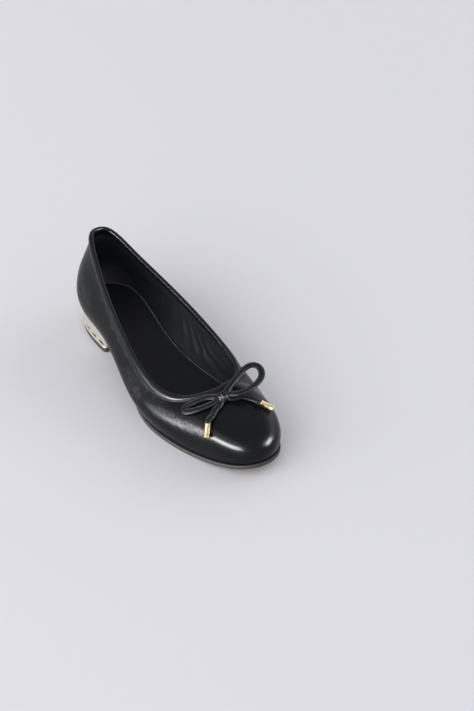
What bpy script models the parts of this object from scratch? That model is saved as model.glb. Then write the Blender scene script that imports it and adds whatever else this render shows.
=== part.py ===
"""A round-toed ballet flat, the right shoe, standing on its sole.

Metres. Toe along +X, the wearer's left (the inner side of this foot) along +Y, up along +Z.
The origin is on the floor, under the middle of the heel.
"""
import math

import bmesh
import bpy
import numpy as np
from mathutils import Vector
from mathutils.bvhtree import BVHTree

# The last
SHOE_LENGTH = 0.2415
BALL_WIDTH = 0.077
BACK_HEIGHT = 0.0555
HEEL_STAND = 0.0160
TOE_SPRING = 0.0088

# The sole and the upper
OUTSOLE_THICK = 0.0032
OUTSOLE_EDGE = 0.0014
INSOLE_THICK = 0.0020
UPPER_WALL = 0.0016

# The heel
HEEL_LENGTH = 0.0574
HEEL_INSET = 0.0006
LIFT_INSET = 0.0010
TOP_LIFT = 0.0046
COVER_WALL = 0.0015
BREAST_CORNER = 0.0030
SLOT_LENGTH = 0.0060
SLOT_HEIGHT = 0.0021
SLOT_PITCH = 0.0108
SLOT_RISE = 0.0036

# The collar's binding
BINDING_DEPTH = 0.0055
BINDING_SKIN = 0.0006
BINDING_SLACK = 0.0004

# The bow
LACE_WIDTH = 0.0034
KNOT_AHEAD = 0.0104
KNOT_ASIDE = -0.0072
KNOT_LENGTH = 0.0078
KNOT_WIDTH = 0.0092
KNOT_HEIGHT = 0.0066
KNOT_ROUND = 0.0024
TAG_LENGTH = 0.0102
TAG_TOP_RADIUS = 0.0021
TAG_END_RADIUS = 0.0024

# What keeps two touching pieces apart
GAP = 0.0003

# How finely the curved forms are cut
AROUND = 80
UP = 12
BINDING_TURNS = 3
SOLE_CUTS = 32
HEEL_CUTS = 7
CORNER_CUTS = 6

# The sole line, as shares of the shoe's length from the back
SEAT_END_SHARE = 0.181
BALL_START_SHARE = 0.616
BALL_END_SHARE = 0.773
SPRING_END_SHARE = 1.013

# Where the outsole starts to widen from the heel's narrow seat, and where it is full
EDGE_START_SHARE = 0.30
EDGE_FULL_SHARE = 0.62

# One rib of the last per row, from the back of the heel by the outer side to the toe and home
# along the inner side. Along: shares of SHOE_LENGTH. Across, swell: shares of BALL_WIDTH.
# Rise, rim height, lead down: shares of BACK_HEIGHT. Lead out: share of SHOE_LENGTH.
# Swell and rise lead the side out of the sole, and the leads bring it in to the collar's rim.
RIB_SHARES = [
    # foot along, foot across, swell, rise, rim along, rim across, rim height, lead out, lead down
    ("heel back", 0.019, 0.000, 0.205, 0.319, 0.018, 0.010, 1.000, 0.008, 0.372),
    ("heel corner, outer", 0.0455, -0.172, 0.228, 0.292, 0.050, -0.110, 0.995, 0.012, 0.335),
    ("heel side, outer", 0.092, -0.306, 0.138, 0.264, 0.140, -0.210, 0.825, 0.012, 0.303),
    ("heel front, outer", 0.194, -0.362, 0.110, 0.229, 0.256, -0.305, 0.655, 0.014, 0.239),
    ("waist, outer", 0.334, -0.365, 0.180, 0.213, 0.382, -0.385, 0.591, 0.014, 0.175),
    ("shank, outer", 0.480, -0.460, 0.192, 0.229, 0.506, -0.445, 0.568, 0.012, 0.175),
    ("joint, outer", 0.614, -0.542, 0.132, 0.287, 0.616, -0.435, 0.537, 0.024, 0.128),
    ("ball, outer", 0.740, -0.500, 0.082, 0.356, 0.698, -0.335, 0.547, 0.046, 0.090),
    ("toe corner, outer", 0.864, -0.368, 0.062, 0.399, 0.738, -0.180, 0.611, 0.092, 0.090),
    ("toe, outer", 0.968, -0.190, 0.070, 0.409, 0.758, -0.055, 0.664, 0.134, 0.117),
    ("toe tip", 1.004, 0.055, 0.075, 0.404, 0.764, 0.055, 0.702, 0.156, 0.144),
    ("toe, inner", 0.968, 0.270, 0.080, 0.393, 0.754, 0.135, 0.691, 0.128, 0.144),
    ("toe corner, inner", 0.888, 0.395, 0.070, 0.361, 0.738, 0.210, 0.633, 0.082, 0.133),
    ("ball, inner", 0.764, 0.460, 0.075, 0.330, 0.702, 0.335, 0.633, 0.036, 0.128),
    ("joint, inner", 0.632, 0.410, 0.100, 0.298, 0.610, 0.390, 0.691, 0.016, 0.154),
    ("arch, inner", 0.492, 0.295, 0.155, 0.292, 0.494, 0.390, 0.704, 0.008, 0.197),
    ("waist, inner", 0.342, 0.240, 0.170, 0.260, 0.368, 0.370, 0.662, 0.010, 0.186),
    ("heel front, inner", 0.194, 0.285, 0.125, 0.247, 0.232, 0.325, 0.652, 0.010, 0.250),
    ("heel side, inner", 0.094, 0.280, 0.130, 0.268, 0.114, 0.260, 0.772, 0.010, 0.314),
    ("heel corner, inner", 0.044, 0.166, 0.190, 0.292, 0.032, 0.160, 0.942, 0.008, 0.340),
]
RIB_SCALES = np.array([SHOE_LENGTH, BALL_WIDTH, BALL_WIDTH, BACK_HEIGHT,
                       SHOE_LENGTH, BALL_WIDTH, BACK_HEIGHT, SHOE_LENGTH, BACK_HEIGHT])
FOOT_ALONG, FOOT_ACROSS, SWELL, RISE, RIM_ALONG, RIM_ACROSS, RIM_HEIGHT, LEAD_OUT, LEAD_DOWN = range(9)
TOE_TIP = [row[0] for row in RIB_SHARES].index("toe tip")

# The shoe's back, and the back of its feather line, which the heel follows
BACK_X = -HEEL_LENGTH / 2 - RIB_SHARES[0][1 + FOOT_ALONG] * SHOE_LENGTH

# The bow's routes. Ahead of the knot's centre: shares of SHOE_LENGTH. Aside, out from the side of
# the knot: shares of BALL_WIDTH. Lift: shares of LACE_WIDTH, square to the vamp under the point, but
# on the standing loop straight up from the knot's centre.
LOOP_OUT_SHARES = [
    # ahead, aside, lift
    (-0.0160, -0.012, 0.79), (-0.0340, 0.044, 0.65), (-0.0450, 0.148, 0.62), (-0.0555, 0.228, 0.62),
    (-0.0530, 0.276, 0.62), (-0.0365, 0.258, 0.62), (-0.0180, 0.188, 0.62), (-0.0070, 0.098, 0.65),
    (-0.0010, 0.006, 0.79),
]
LOOP_IN_SHARES = [
    # ahead, aside, lift
    (-0.0130, 0.010, 0.35), (-0.0220, 0.068, 0.79), (-0.0375, 0.180, 1.41), (-0.0470, 0.278, 1.94),
    (-0.0480, 0.350, 2.26), (-0.0365, 0.398, 2.29), (-0.0155, 0.408, 2.03), (0.0050, 0.372, 1.62),
    (0.0205, 0.294, 1.29), (0.0280, 0.162, 0.94), (0.0240, 0.062, 0.76), (0.0080, 0.012, 0.47),
]
TAIL_OUT_SHARES = [(0.0155, 0.006, 0.65), (0.0195, 0.062, 0.62), (0.0350, 0.128, 0.62)]
TAG_OUT_SHARES = [(0.0480, 0.192, 0.94), (0.0675, 0.236, 1.03)]
TAIL_IN_SHARES = [(0.0165, 0.006, 0.65), (0.0175, 0.062, 0.62), (0.0280, 0.130, 0.62), (0.0445, 0.184, 0.62)]
TAG_IN_SHARES = [(0.0665, 0.222, 0.88), (0.0915, 0.284, 0.97)]
OUTER_SIDE = -1
INNER_SIDE = 1


def clear_scene():
    for old in list(bpy.data.objects):
        bpy.data.objects.remove(old, do_unlink=True)


def make_collection(name):
    made = bpy.data.collections.new(name)
    bpy.context.scene.collection.children.link(made)
    return made


def make_material(name, color, roughness, metallic=0.0):
    material = bpy.data.materials.new(name)
    material.use_nodes = True
    shader = material.node_tree.nodes["Principled BSDF"]
    shader.inputs["Base Color"].default_value = (*color, 1.0)
    shader.inputs["Roughness"].default_value = roughness
    shader.inputs["Metallic"].default_value = metallic
    return material


def add_object(name, data, material, collection):
    made = bpy.data.objects.new(name, data)
    data.materials.append(material)
    collection.objects.link(made)
    return made


def smooth_step(share):
    share = np.clip(share, 0.0, 1.0)
    return share * share * (3.0 - 2.0 * share)


def sole_under(x):
    """Height of the outsole's underside over the floor."""
    share = (np.asarray(x, float) - BACK_X) / SHOE_LENGTH
    seat = HEEL_STAND * smooth_step((BALL_START_SHARE - share) / (BALL_START_SHARE - SEAT_END_SHARE))
    spring = np.clip((share - BALL_END_SHARE) / (SPRING_END_SHARE - BALL_END_SHARE), 0.0, 1.2)
    return seat + TOE_SPRING * spring**2


def sole_top(x):
    return sole_under(x) + OUTSOLE_THICK


def ribs_at(turns):
    """Rib values at shares of the way round, on one smooth closed cubic through the table's rows."""
    table = np.array([row[1:] for row in RIB_SHARES]) * RIB_SCALES
    count = len(table)
    system = 4.0 * np.eye(count) + np.roll(np.eye(count), 1, 0) + np.roll(np.eye(count), -1, 0)
    bend = np.linalg.solve(system, 6.0 * (np.roll(table, 1, 0) - 2.0 * table + np.roll(table, -1, 0)))
    place = np.asarray(turns) * count
    row = np.floor(place).astype(int) % count
    after = (row + 1) % count
    ahead = (place - np.floor(place))[:, None]
    behind = 1.0 - ahead
    straight = behind * table[row] + ahead * table[after]
    curve = (behind**3 - behind) * bend[row] + (ahead**3 - ahead) * bend[after]
    return straight + curve / 6.0


def plan_normals(points):
    """Outward plan normals of a closed loop that runs counter-clockwise seen from above."""
    along = np.roll(points, -1, 0) - np.roll(points, 1, 0)
    out = np.column_stack([along[:, 1], -along[:, 0]])
    return out / np.linalg.norm(out, axis=1)[:, None]


def foot_outline(offset, count):
    """Plan outline of the feather line, moved outward by offset."""
    values = ribs_at(np.arange(count) / count)
    foot = np.column_stack([BACK_X + values[:, FOOT_ALONG], values[:, FOOT_ACROSS]])
    return foot + offset * plan_normals(foot)


def outsole_outline(count):
    """Plan outline of the outsole: within the heel's cover at the back, past the feather line ahead."""
    within_cover = HEEL_INSET + COVER_WALL + GAP
    narrow = foot_outline(-within_cover, count)
    full = foot_outline(OUTSOLE_EDGE, count)
    share = (narrow[:, 0] - BACK_X) / SHOE_LENGTH
    widening = smooth_step((share - EDGE_START_SHARE) / (EDGE_FULL_SHARE - EDGE_START_SHARE))
    return narrow + (full - narrow) * widening[:, None]


def rib_handles(count):
    """The four control points of each rib: sole, side, brow and rim."""
    values = ribs_at(np.arange(count) / count)
    foot_x = BACK_X + values[:, FOOT_ALONG]
    rim_x = BACK_X + values[:, RIM_ALONG]
    foot = np.column_stack([foot_x, values[:, FOOT_ACROSS], sole_top(foot_x) + GAP])
    rim = np.column_stack([rim_x, values[:, RIM_ACROSS], sole_top(rim_x) + values[:, RIM_HEIGHT]])
    out = np.column_stack([plan_normals(foot), np.zeros(count)])
    up = np.array([0.0, 0.0, 1.0])
    side = foot + out * values[:, [SWELL]] + up * values[:, [RISE]]
    brow = rim + out * values[:, [LEAD_OUT]] - up * values[:, [LEAD_DOWN]]
    return foot, side, brow, rim


def upper_skin(count, climbs):
    """Points of the upper's outer skin: one row of climbs, from 0 at the sole to 1 at the rim, a rib."""
    foot, side, brow, rim = rib_handles(count)
    climb = climbs[..., None]
    left = 1.0 - climb
    return (left**3 * foot[:, None] + 3.0 * left**2 * climb * side[:, None]
            + 3.0 * left * climb**2 * brow[:, None] + climb**3 * rim[:, None])


def skin_normals(grid):
    around = np.roll(grid, -1, 0) - np.roll(grid, 1, 0)
    out = np.cross(around, np.gradient(grid, axis=1))
    return out / np.linalg.norm(out, axis=2)[..., None]


def band_mesh(name, grid):
    """A mesh band from a grid of points, closed around its first axis and facing outward."""
    count, rows = grid.shape[:2]
    corners = []
    for i in range(count):
        j = (i + 1) % count
        corners += [(i * rows + k, j * rows + k, j * rows + k + 1, i * rows + k + 1) for k in range(rows - 1)]
    mesh = bpy.data.meshes.new(name)
    mesh.from_pydata([tuple(p) for p in grid.reshape(-1, 3)], [], corners)
    mesh.shade_smooth()
    return mesh


def add_wall(thing, thickness, offset):
    wall = thing.modifiers.new("wall", "SOLIDIFY")
    wall.thickness = thickness
    wall.offset = offset
    wall.use_even_offset = True
    return wall


def make_upper(material, collection):
    """The vamp and quarters: one skin round the last, open at the collar and over the sole."""
    climbs = np.tile(np.linspace(0.0, 1.0, UP + 1), (AROUND, 1))
    upper = add_object("upper", band_mesh("upper", upper_skin(AROUND, climbs)), material, collection)
    add_wall(upper, UPPER_WALL, -1.0)
    return upper


def make_binding(material, collection):
    """The collar's binding: a thin strip folded over the rim, down its outside and its lining side."""
    foot, side, brow, rim = rib_handles(AROUND)
    lead = np.linalg.norm(rim - brow, axis=1)
    reach = BINDING_DEPTH / (3.0 * lead)
    steps = np.linspace(1.0, 0.0, BINDING_TURNS)
    climbs = 1.0 - reach[:, None] * steps[None, :]
    skin = upper_skin(AROUND, climbs)
    normal = skin_normals(skin)
    outside = skin + BINDING_SLACK * normal
    inside = (skin - (UPPER_WALL + BINDING_SLACK) * normal)[:, ::-1]
    over = (rim - brow) / lead[:, None]
    edge = rim + BINDING_SLACK * over
    across = normal[:, -1]
    crown = edge + (UPPER_WALL / 4.0) * over - (UPPER_WALL / 2.0) * across
    section = np.concatenate([outside, crown[:, None], inside], axis=1)
    section[:, BINDING_TURNS - 1] += BINDING_SLACK * over
    section[:, BINDING_TURNS + 1] += BINDING_SLACK * over
    binding = add_object("collar_binding", band_mesh("collar_binding", section), material, collection)
    add_wall(binding, BINDING_SKIN, 1.0)
    return binding


def sheet_solid(name, outline, low, high, cuts, material, collection):
    """A slab from a plan outline, with cuts across it, and its skins at heights low(x) and high(x)."""
    shape = bmesh.new()
    shape.faces.new([shape.verts.new((x, y, 0.0)) for x, y in outline])
    ends = outline[:, 0].min(), outline[:, 0].max()
    for station in np.linspace(*ends, cuts + 2)[1:-1]:
        geometry = shape.verts[:] + shape.edges[:] + shape.faces[:]
        bmesh.ops.bisect_plane(shape, geom=geometry, plane_co=(station, 0.0, 0.0), plane_no=(1.0, 0.0, 0.0))
    for vert in shape.verts:
        vert.co.z = low(vert.co.x)
    raised = bmesh.ops.extrude_face_region(shape, geom=shape.faces[:])
    for vert in raised["geom"]:
        if isinstance(vert, bmesh.types.BMVert):
            vert.co.z = high(vert.co.x)
    bmesh.ops.recalc_face_normals(shape, faces=shape.faces[:])
    mesh = bpy.data.meshes.new(name)
    shape.to_mesh(mesh)
    shape.free()
    return add_object(name, mesh, material, collection)


def make_soles(outsole_material, insole_material, collection):
    sheet_solid("outsole", outsole_outline(AROUND), sole_under, sole_top, SOLE_CUTS, outsole_material, collection)
    inner = foot_outline(-(UPPER_WALL + 2.0 * GAP), AROUND)
    sheet_solid("insole", inner, lambda x: sole_top(x) + GAP, lambda x: sole_top(x) + GAP + INSOLE_THICK,
                SOLE_CUTS, insole_material, collection)


def breast_corner_start(inset):
    return HEEL_LENGTH / 2 - inset - BREAST_CORNER


def heel_outline(inset):
    """Plan outline of the heel: the foot's own outline back from the breast, whose corners are round."""
    foot = foot_outline(-inset, 2 * AROUND)
    limit = breast_corner_start(inset)
    outer_half = foot[:AROUND]
    inner_half = foot[AROUND:][::-1]
    outer_y = np.interp(limit, outer_half[:, 0], outer_half[:, 1])
    inner_y = np.interp(limit, inner_half[:, 0], inner_half[:, 1])
    outer_side = outer_half[outer_half[:, 0] < limit]
    inner_side = inner_half[inner_half[:, 0] < limit][::-1]
    turn = np.linspace(0.0, math.pi / 2.0, CORNER_CUTS)
    corner = BREAST_CORNER * np.column_stack([np.sin(turn), 1.0 - np.cos(turn)])
    outer_corner = np.array([limit, outer_y]) + corner
    inner_corner = np.array([limit, inner_y]) + (corner * (1.0, -1.0))[::-1]
    return np.concatenate([inner_corner, inner_side, outer_side, outer_corner])


def slot_cutter(name, collection):
    """Round-ended slots in one mesh: one at the back, and as many as each of the heel's sides holds."""
    path = heel_outline(HEEL_INSET)
    back = np.argmin(path[:, 0])
    out = plan_normals(path)
    steps = np.linalg.norm(np.diff(path, axis=0), axis=1)
    travelled = np.concatenate([[0.0], np.cumsum(steps)])
    inner_side = travelled[back] - travelled[CORNER_CUTS - 1]
    outer_side = travelled[-CORNER_CUTS] - travelled[back]
    middle = TOP_LIFT + GAP + SLOT_RISE
    round_end = SLOT_HEIGHT / 2.0
    shape = bmesh.new()
    for slot in range(-int(inner_side / SLOT_PITCH), int(outer_side / SLOT_PITCH) + 1):
        place = travelled[back] + slot * SLOT_PITCH
        here = np.array([np.interp(place, travelled, path[:, k]) for k in (0, 1)])
        facing = np.array([np.interp(place, travelled, out[:, k]) for k in (0, 1)])
        facing /= np.linalg.norm(facing)
        along = np.array([-facing[1], facing[0]])
        ring = []
        for step in range(12):
            angle = 2.0 * math.pi * (step + 0.5) / 12
            shift = math.copysign(SLOT_LENGTH / 2.0 - round_end, math.cos(angle)) + round_end * math.cos(angle)
            spot = here + along * shift - facing * 2.0 * COVER_WALL
            ring.append(shape.verts.new((*spot, middle + round_end * math.sin(angle))))
        face = shape.faces.new(ring)
        pushed = bmesh.ops.extrude_face_region(shape, geom=[face])
        moved = [v for v in pushed["geom"] if isinstance(v, bmesh.types.BMVert)]
        bmesh.ops.translate(shape, verts=moved, vec=(*(facing * 4.0 * COVER_WALL), 0.0))
    bmesh.ops.recalc_face_normals(shape, faces=shape.faces[:])
    mesh = bpy.data.meshes.new(name)
    shape.to_mesh(mesh)
    shape.free()
    cutter = bpy.data.objects.new(name, mesh)
    cutter.hide_render = True
    cutter.display_type = "WIRE"
    collection.objects.link(cutter)
    return cutter


def make_heel(gold, black, lift_material, collection, cutters):
    """Top lift on the floor, and over it the heel block in its slotted metal cover."""
    sheet_solid("top_lift", heel_outline(LIFT_INSET), lambda x: 0.0, lambda x: TOP_LIFT,
                0, lift_material, collection)
    core_inset = HEEL_INSET + COVER_WALL + GAP
    sheet_solid("heel_core", heel_outline(core_inset), lambda x: TOP_LIFT + GAP,
                lambda x: sole_under(x) - GAP, HEEL_CUTS, black, collection)
    outline = heel_outline(HEEL_INSET)
    low = np.column_stack([outline, np.full(len(outline), TOP_LIFT + GAP)])
    beside_sole = outline[:, 0] < breast_corner_start(HEEL_INSET)
    top = np.where(beside_sole, sole_top(outline[:, 0]), sole_under(outline[:, 0]) - GAP)
    high = np.column_stack([outline, top])
    cover = add_object("heel_cover", band_mesh("heel_cover", np.stack([low, high], axis=1)), gold, collection)
    add_wall(cover, COVER_WALL, -1.0)
    slots = cover.modifiers.new("slots", "BOOLEAN")
    slots.operation = "DIFFERENCE"
    slots.solver = "EXACT"
    slots.object = slot_cutter("slot_cutter", cutters)


def evaluated_tree(things):
    """One search tree over the finished surfaces of some objects."""
    graph = bpy.context.evaluated_depsgraph_get()
    verts = []
    faces = []
    for thing in things:
        mesh = thing.evaluated_get(graph).to_mesh()
        start = len(verts)
        verts += [v.co.copy() for v in mesh.vertices]
        faces += [[start + i for i in p.vertices] for p in mesh.polygons]
    return BVHTree.FromPolygons(verts, faces)


def over_vamp(tree, x, y, lift):
    """The point at a height above the vamp, square to its surface, over the plan place (x, y)."""
    spot, normal = tree.ray_cast(Vector((x, y, 2.0 * BACK_HEIGHT)), Vector((0.0, 0.0, -1.0)))[:2]
    return spot + lift * normal, normal


def make_knot(tree, material, collection):
    """The bow's knot: a soft block that rests on the vamp just ahead of the binding."""
    tip = ribs_at([TOE_TIP / len(RIB_SHARES)])[0]
    x = BACK_X + tip[RIM_ALONG] + KNOT_AHEAD
    y = tip[RIM_ACROSS] + KNOT_ASIDE
    place, facing = over_vamp(tree, x, y, GAP + KNOT_HEIGHT / 2.0)
    shape = bmesh.new()
    bmesh.ops.create_cube(shape, size=1.0)
    bmesh.ops.scale(shape, verts=shape.verts[:], vec=(KNOT_LENGTH, KNOT_WIDTH, KNOT_HEIGHT))
    bmesh.ops.bevel(shape, geom=shape.edges[:], offset=KNOT_ROUND, segments=3, profile=0.5, affect="EDGES")
    mesh = bpy.data.meshes.new("bow_knot")
    shape.to_mesh(mesh)
    shape.free()
    mesh.shade_smooth()
    knot = add_object("bow_knot", mesh, material, collection)
    knot.location = place
    knot.rotation_mode = "QUATERNION"
    knot.rotation_quaternion = Vector((0.0, 0.0, 1.0)).rotation_difference(facing)
    return place


def smooth_route(points, spacing):
    """Evenly spaced points along one smooth curve through the route's own points."""
    route = np.array([tuple(p) for p in points])
    first = 2.0 * route[0] - route[1]
    last = 2.0 * route[-1] - route[-2]
    padded = np.concatenate([[first], route, [last]])
    fine = []
    for before, here, there, after in zip(padded, padded[1:], padded[2:], padded[3:]):
        for share in np.arange(0.0, 1.0, 0.05):
            fine.append(0.5 * (2.0 * here + (there - before) * share
                               + (2.0 * before - 5.0 * here + 4.0 * there - after) * share**2
                               + (3.0 * here - before - 3.0 * there + after) * share**3))
    fine = np.array(fine + [route[-1]])
    travelled = np.concatenate([[0.0], np.cumsum(np.linalg.norm(np.diff(fine, axis=0), axis=1))])
    places = np.linspace(0.0, travelled[-1], max(4, round(travelled[-1] / spacing)))
    return np.column_stack([np.interp(places, travelled, fine[:, k]) for k in range(3)])


def make_lace(name, points, material, collection):
    """One strand of the bow's lace as a round tube along a smooth route."""
    curve = bpy.data.curves.new(name, "CURVE")
    curve.dimensions = "3D"
    curve.bevel_depth = LACE_WIDTH / 2.0
    curve.bevel_resolution = 2
    curve.render_resolution_u = 0
    curve.use_fill_caps = True
    route = smooth_route(points, LACE_WIDTH)
    spline = curve.splines.new("POLY")
    spline.points.add(len(route) - 1)
    for point, place in zip(spline.points, route):
        point.co = (*place, 1.0)
    return add_object(name, curve, material, collection)


def make_tag(name, top, end, material, collection):
    """A turned metal tag, its top at one point and its length running towards another."""
    profile = [(0.0, 0.0), (TAG_TOP_RADIUS, 0.0), (TAG_END_RADIUS, -TAG_LENGTH), (0.0, -TAG_LENGTH)]
    mesh = bpy.data.meshes.new(name)
    mesh.from_pydata([(radius, 0.0, height) for radius, height in profile], [(0, 1), (1, 2), (2, 3)], [])
    tag = add_object(name, mesh, material, collection)
    tag.location = top
    tag.rotation_mode = "QUATERNION"
    tag.rotation_quaternion = Vector((0.0, 0.0, -1.0)).rotation_difference(end - top)
    turned = tag.modifiers.new("turned", "SCREW")
    turned.steps = 16
    turned.render_steps = 16
    turned.use_merge_vertices = True
    turned.merge_threshold = 0.00001
    turned.use_smooth_shade = False
    return tag


def make_bow(leather, gold, collection, dressed):
    """Knot, two loops and two tagged ends, laid out from the knot over the dressed vamp."""
    tree = evaluated_tree(dressed)
    knot = make_knot(tree, leather, collection)

    def sized(row, side):
        ahead, aside, lift = row
        beside = side * (KNOT_WIDTH / 2.0 + BALL_WIDTH * aside)
        return Vector((SHOE_LENGTH * ahead, beside, LACE_WIDTH * lift))

    def lying(row, side):
        place = knot + sized(row, side)
        return over_vamp(tree, place.x, place.y, LACE_WIDTH * row[-1])[0]

    make_lace("bow_loop_out", [lying(row, OUTER_SIDE) for row in LOOP_OUT_SHARES], leather, collection)
    make_lace("bow_loop_in", [knot + sized(row, INNER_SIDE) for row in LOOP_IN_SHARES], leather, collection)
    for name, side, tail_rows, tag_rows in (
        ("out", OUTER_SIDE, TAIL_OUT_SHARES, TAG_OUT_SHARES),
        ("in", INNER_SIDE, TAIL_IN_SHARES, TAG_IN_SHARES),
    ):
        top, end = (lying(row, side) for row in tag_rows)
        along = (end - top).normalized()
        lead = [top - along * LACE_WIDTH, top - along * 2.0 * GAP]
        make_lace("bow_tail_" + name, [lying(row, side) for row in tail_rows] + lead, leather, collection)
        make_tag("tag_" + name, top, end, gold, collection)


clear_scene()
shoe = make_collection("ballet_flat")
cutters = make_collection("cutters")
upper_leather = make_material("black leather", (0.012, 0.013, 0.015), 0.35)
binding_leather = make_material("black binding", (0.010, 0.011, 0.013), 0.40)
insole_leather = make_material("black insole", (0.012, 0.012, 0.014), 0.60)
outsole_rubber = make_material("black outsole", (0.015, 0.015, 0.016), 0.50)
lift_rubber = make_material("black top lift", (0.013, 0.013, 0.014), 0.55)
heel_block = make_material("black heel block", (0.010, 0.010, 0.010), 0.60)
heel_metal = make_material("pale gold heel", (0.80, 0.62, 0.30), 0.20, 1.0)
tag_metal = make_material("pale gold tag", (0.80, 0.62, 0.30), 0.22, 1.0)
lace_leather = make_material("black lace", (0.012, 0.012, 0.014), 0.45)

upper = make_upper(upper_leather, shoe)
binding = make_binding(binding_leather, shoe)
make_soles(outsole_rubber, insole_leather, shoe)
make_heel(heel_metal, heel_block, lift_rubber, shoe, cutters)
bpy.context.view_layer.update()
make_bow(lace_leather, tag_metal, shoe, [upper, binding])
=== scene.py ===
# %% [markdown]
# # A black ballet flat
# This lesson dresses one ballet flat, the right shoe: black smooth leather, a narrow bound collar, a
# tied lace bow with two metal tags, and a low metal-clad heel. The solids that carry the shoe come
# ready from the frame. Each step here says what the real thing is, how it could be made, and why
# this way was chosen. Lengths are in metres; millimetres are written as `3.4 * MM`.

# %% Load the frame
import math

import bmesh
import bpy
import numpy as np
from mathutils import Matrix, Quaternion, Vector
from mathutils.bvhtree import BVHTree


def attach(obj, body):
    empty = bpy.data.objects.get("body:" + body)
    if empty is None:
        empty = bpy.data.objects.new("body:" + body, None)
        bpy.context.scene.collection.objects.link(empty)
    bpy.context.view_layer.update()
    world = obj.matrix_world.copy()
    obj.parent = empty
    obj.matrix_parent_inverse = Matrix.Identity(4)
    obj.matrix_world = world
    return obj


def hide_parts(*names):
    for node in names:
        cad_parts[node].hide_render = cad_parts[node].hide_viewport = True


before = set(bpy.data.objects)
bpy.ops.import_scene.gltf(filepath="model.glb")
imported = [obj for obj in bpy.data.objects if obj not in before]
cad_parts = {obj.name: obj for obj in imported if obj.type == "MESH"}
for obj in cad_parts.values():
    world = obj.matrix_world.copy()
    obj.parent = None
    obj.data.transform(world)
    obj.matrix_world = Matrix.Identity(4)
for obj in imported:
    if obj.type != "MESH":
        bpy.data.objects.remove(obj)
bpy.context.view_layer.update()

MM = 0.001
scene = bpy.context.scene

# %% [markdown]
# ## The camera
# The photograph looks down on the shoe from ahead of its outer side with a long lens. A camera could
# be aimed with a Track To constraint, but three angles and a place are exact and need nothing else.
# The axes of the camera are written out from the angles: right, up and back.

# %% Camera
CAMERA_PLACE = Vector((1.17668, -0.66902, 1.09529))
CAMERA_AZIMUTH = math.radians(56.27)
CAMERA_ELEVATION = math.radians(39.86)
CAMERA_ROLL = math.radians(0.79)
CAMERA_LENS = 110.18
CAMERA_REACH = 50.0


def stand(name, data):
    """A new object in the scene, at the origin until something moves it."""
    thing = bpy.data.objects.new(name, data)
    scene.collection.objects.link(thing)
    return thing


def bearing(azimuth, elevation):
    """The direction at angles round from the toe's way and up from the floor."""
    level = math.cos(elevation)
    return Vector((math.cos(azimuth) * level, math.sin(azimuth) * level, math.sin(elevation)))


def make_camera():
    back = bearing(CAMERA_AZIMUTH - math.pi / 2.0, CAMERA_ELEVATION)
    level = bearing(CAMERA_AZIMUTH, 0.0)
    right = level * math.cos(CAMERA_ROLL) + back.cross(level) * math.sin(CAMERA_ROLL)
    axes = Matrix((right, back.cross(right), back)).transposed()
    camera = stand("camera", bpy.data.cameras.new("camera"))
    camera.data.lens = CAMERA_LENS
    camera.data.clip_end = CAMERA_REACH
    camera.matrix_world = Matrix.Translation(CAMERA_PLACE) @ axes.to_4x4()
    return camera


scene.camera = make_camera()
print("the camera looks down at", round(math.degrees(CAMERA_ELEVATION), 1), "degrees")

# %% [markdown]
# ## One class for nodes
# A material is a graph of nodes. Dragging wires by hand is slow to repeat, and a script full of
# `links.new` is hard to read. So one small class wraps an output socket and lets Python's own
# operators add the Math nodes: `1 - mask * 0.4` is three nodes and two wires. Any other node comes
# from `Bench.node`, which takes its type, its settings and what goes in its sockets.

# %% Bench and wire
class Wire:
    """One output socket, on which sums are written as in arithmetic."""

    def __init__(self, bench, socket):
        self.bench = bench
        self.socket = socket

    def math(self, operation, *others):
        return self.bench.node("ShaderNodeMath", {"operation": operation}, dict(enumerate((self, *others))))

    def __add__(self, other):
        return self.math("ADD", other)

    def __sub__(self, other):
        return self.math("SUBTRACT", other)

    def __rsub__(self, other):
        return self.bench.node("ShaderNodeMath", {"operation": "SUBTRACT"}, {0: other, 1: self})

    def __mul__(self, other):
        return self.math("MULTIPLY", other)

    def __pow__(self, other):
        return self.math("POWER", other)

    def clamped(self):
        return self.math("MINIMUM", 1.0).math("MAXIMUM", 0.0)

    __radd__ = __add__
    __rmul__ = __mul__


class Bench:
    """A node tree under work."""

    def __init__(self, tree):
        self.tree = tree

    def node(self, kind, settings=None, values=None, output=0):
        made = self.tree.nodes.new(kind)
        for name, setting in (settings or {}).items():
            setattr(made, name, setting)
        for name, value in (values or {}).items():
            if isinstance(value, Wire):
                self.tree.links.new(value.socket, made.inputs[name])
            else:
                made.inputs[name].default_value = value
        return Wire(self, made.outputs[output])

    def blend(self, share, first, second):
        """A colour between two colours; either may be a wire."""
        return self.node("ShaderNodeMix", {"data_type": "RGBA"}, {0: share, 6: first, 7: second}, output=2)


def colour(red, green, blue):
    return (red, green, blue, 1.0)


# %% [markdown]
# A finish is a material with one Principled shader. Numbers that are the same all over go on the
# shader's own sockets, and only what changes over the surface arrives by a wire. Patterns read
# Object coordinates, which are metres of the shoe itself, so the grain has the same size on each
# piece and never slides. Scales below are written as `1 / size`.

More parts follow.
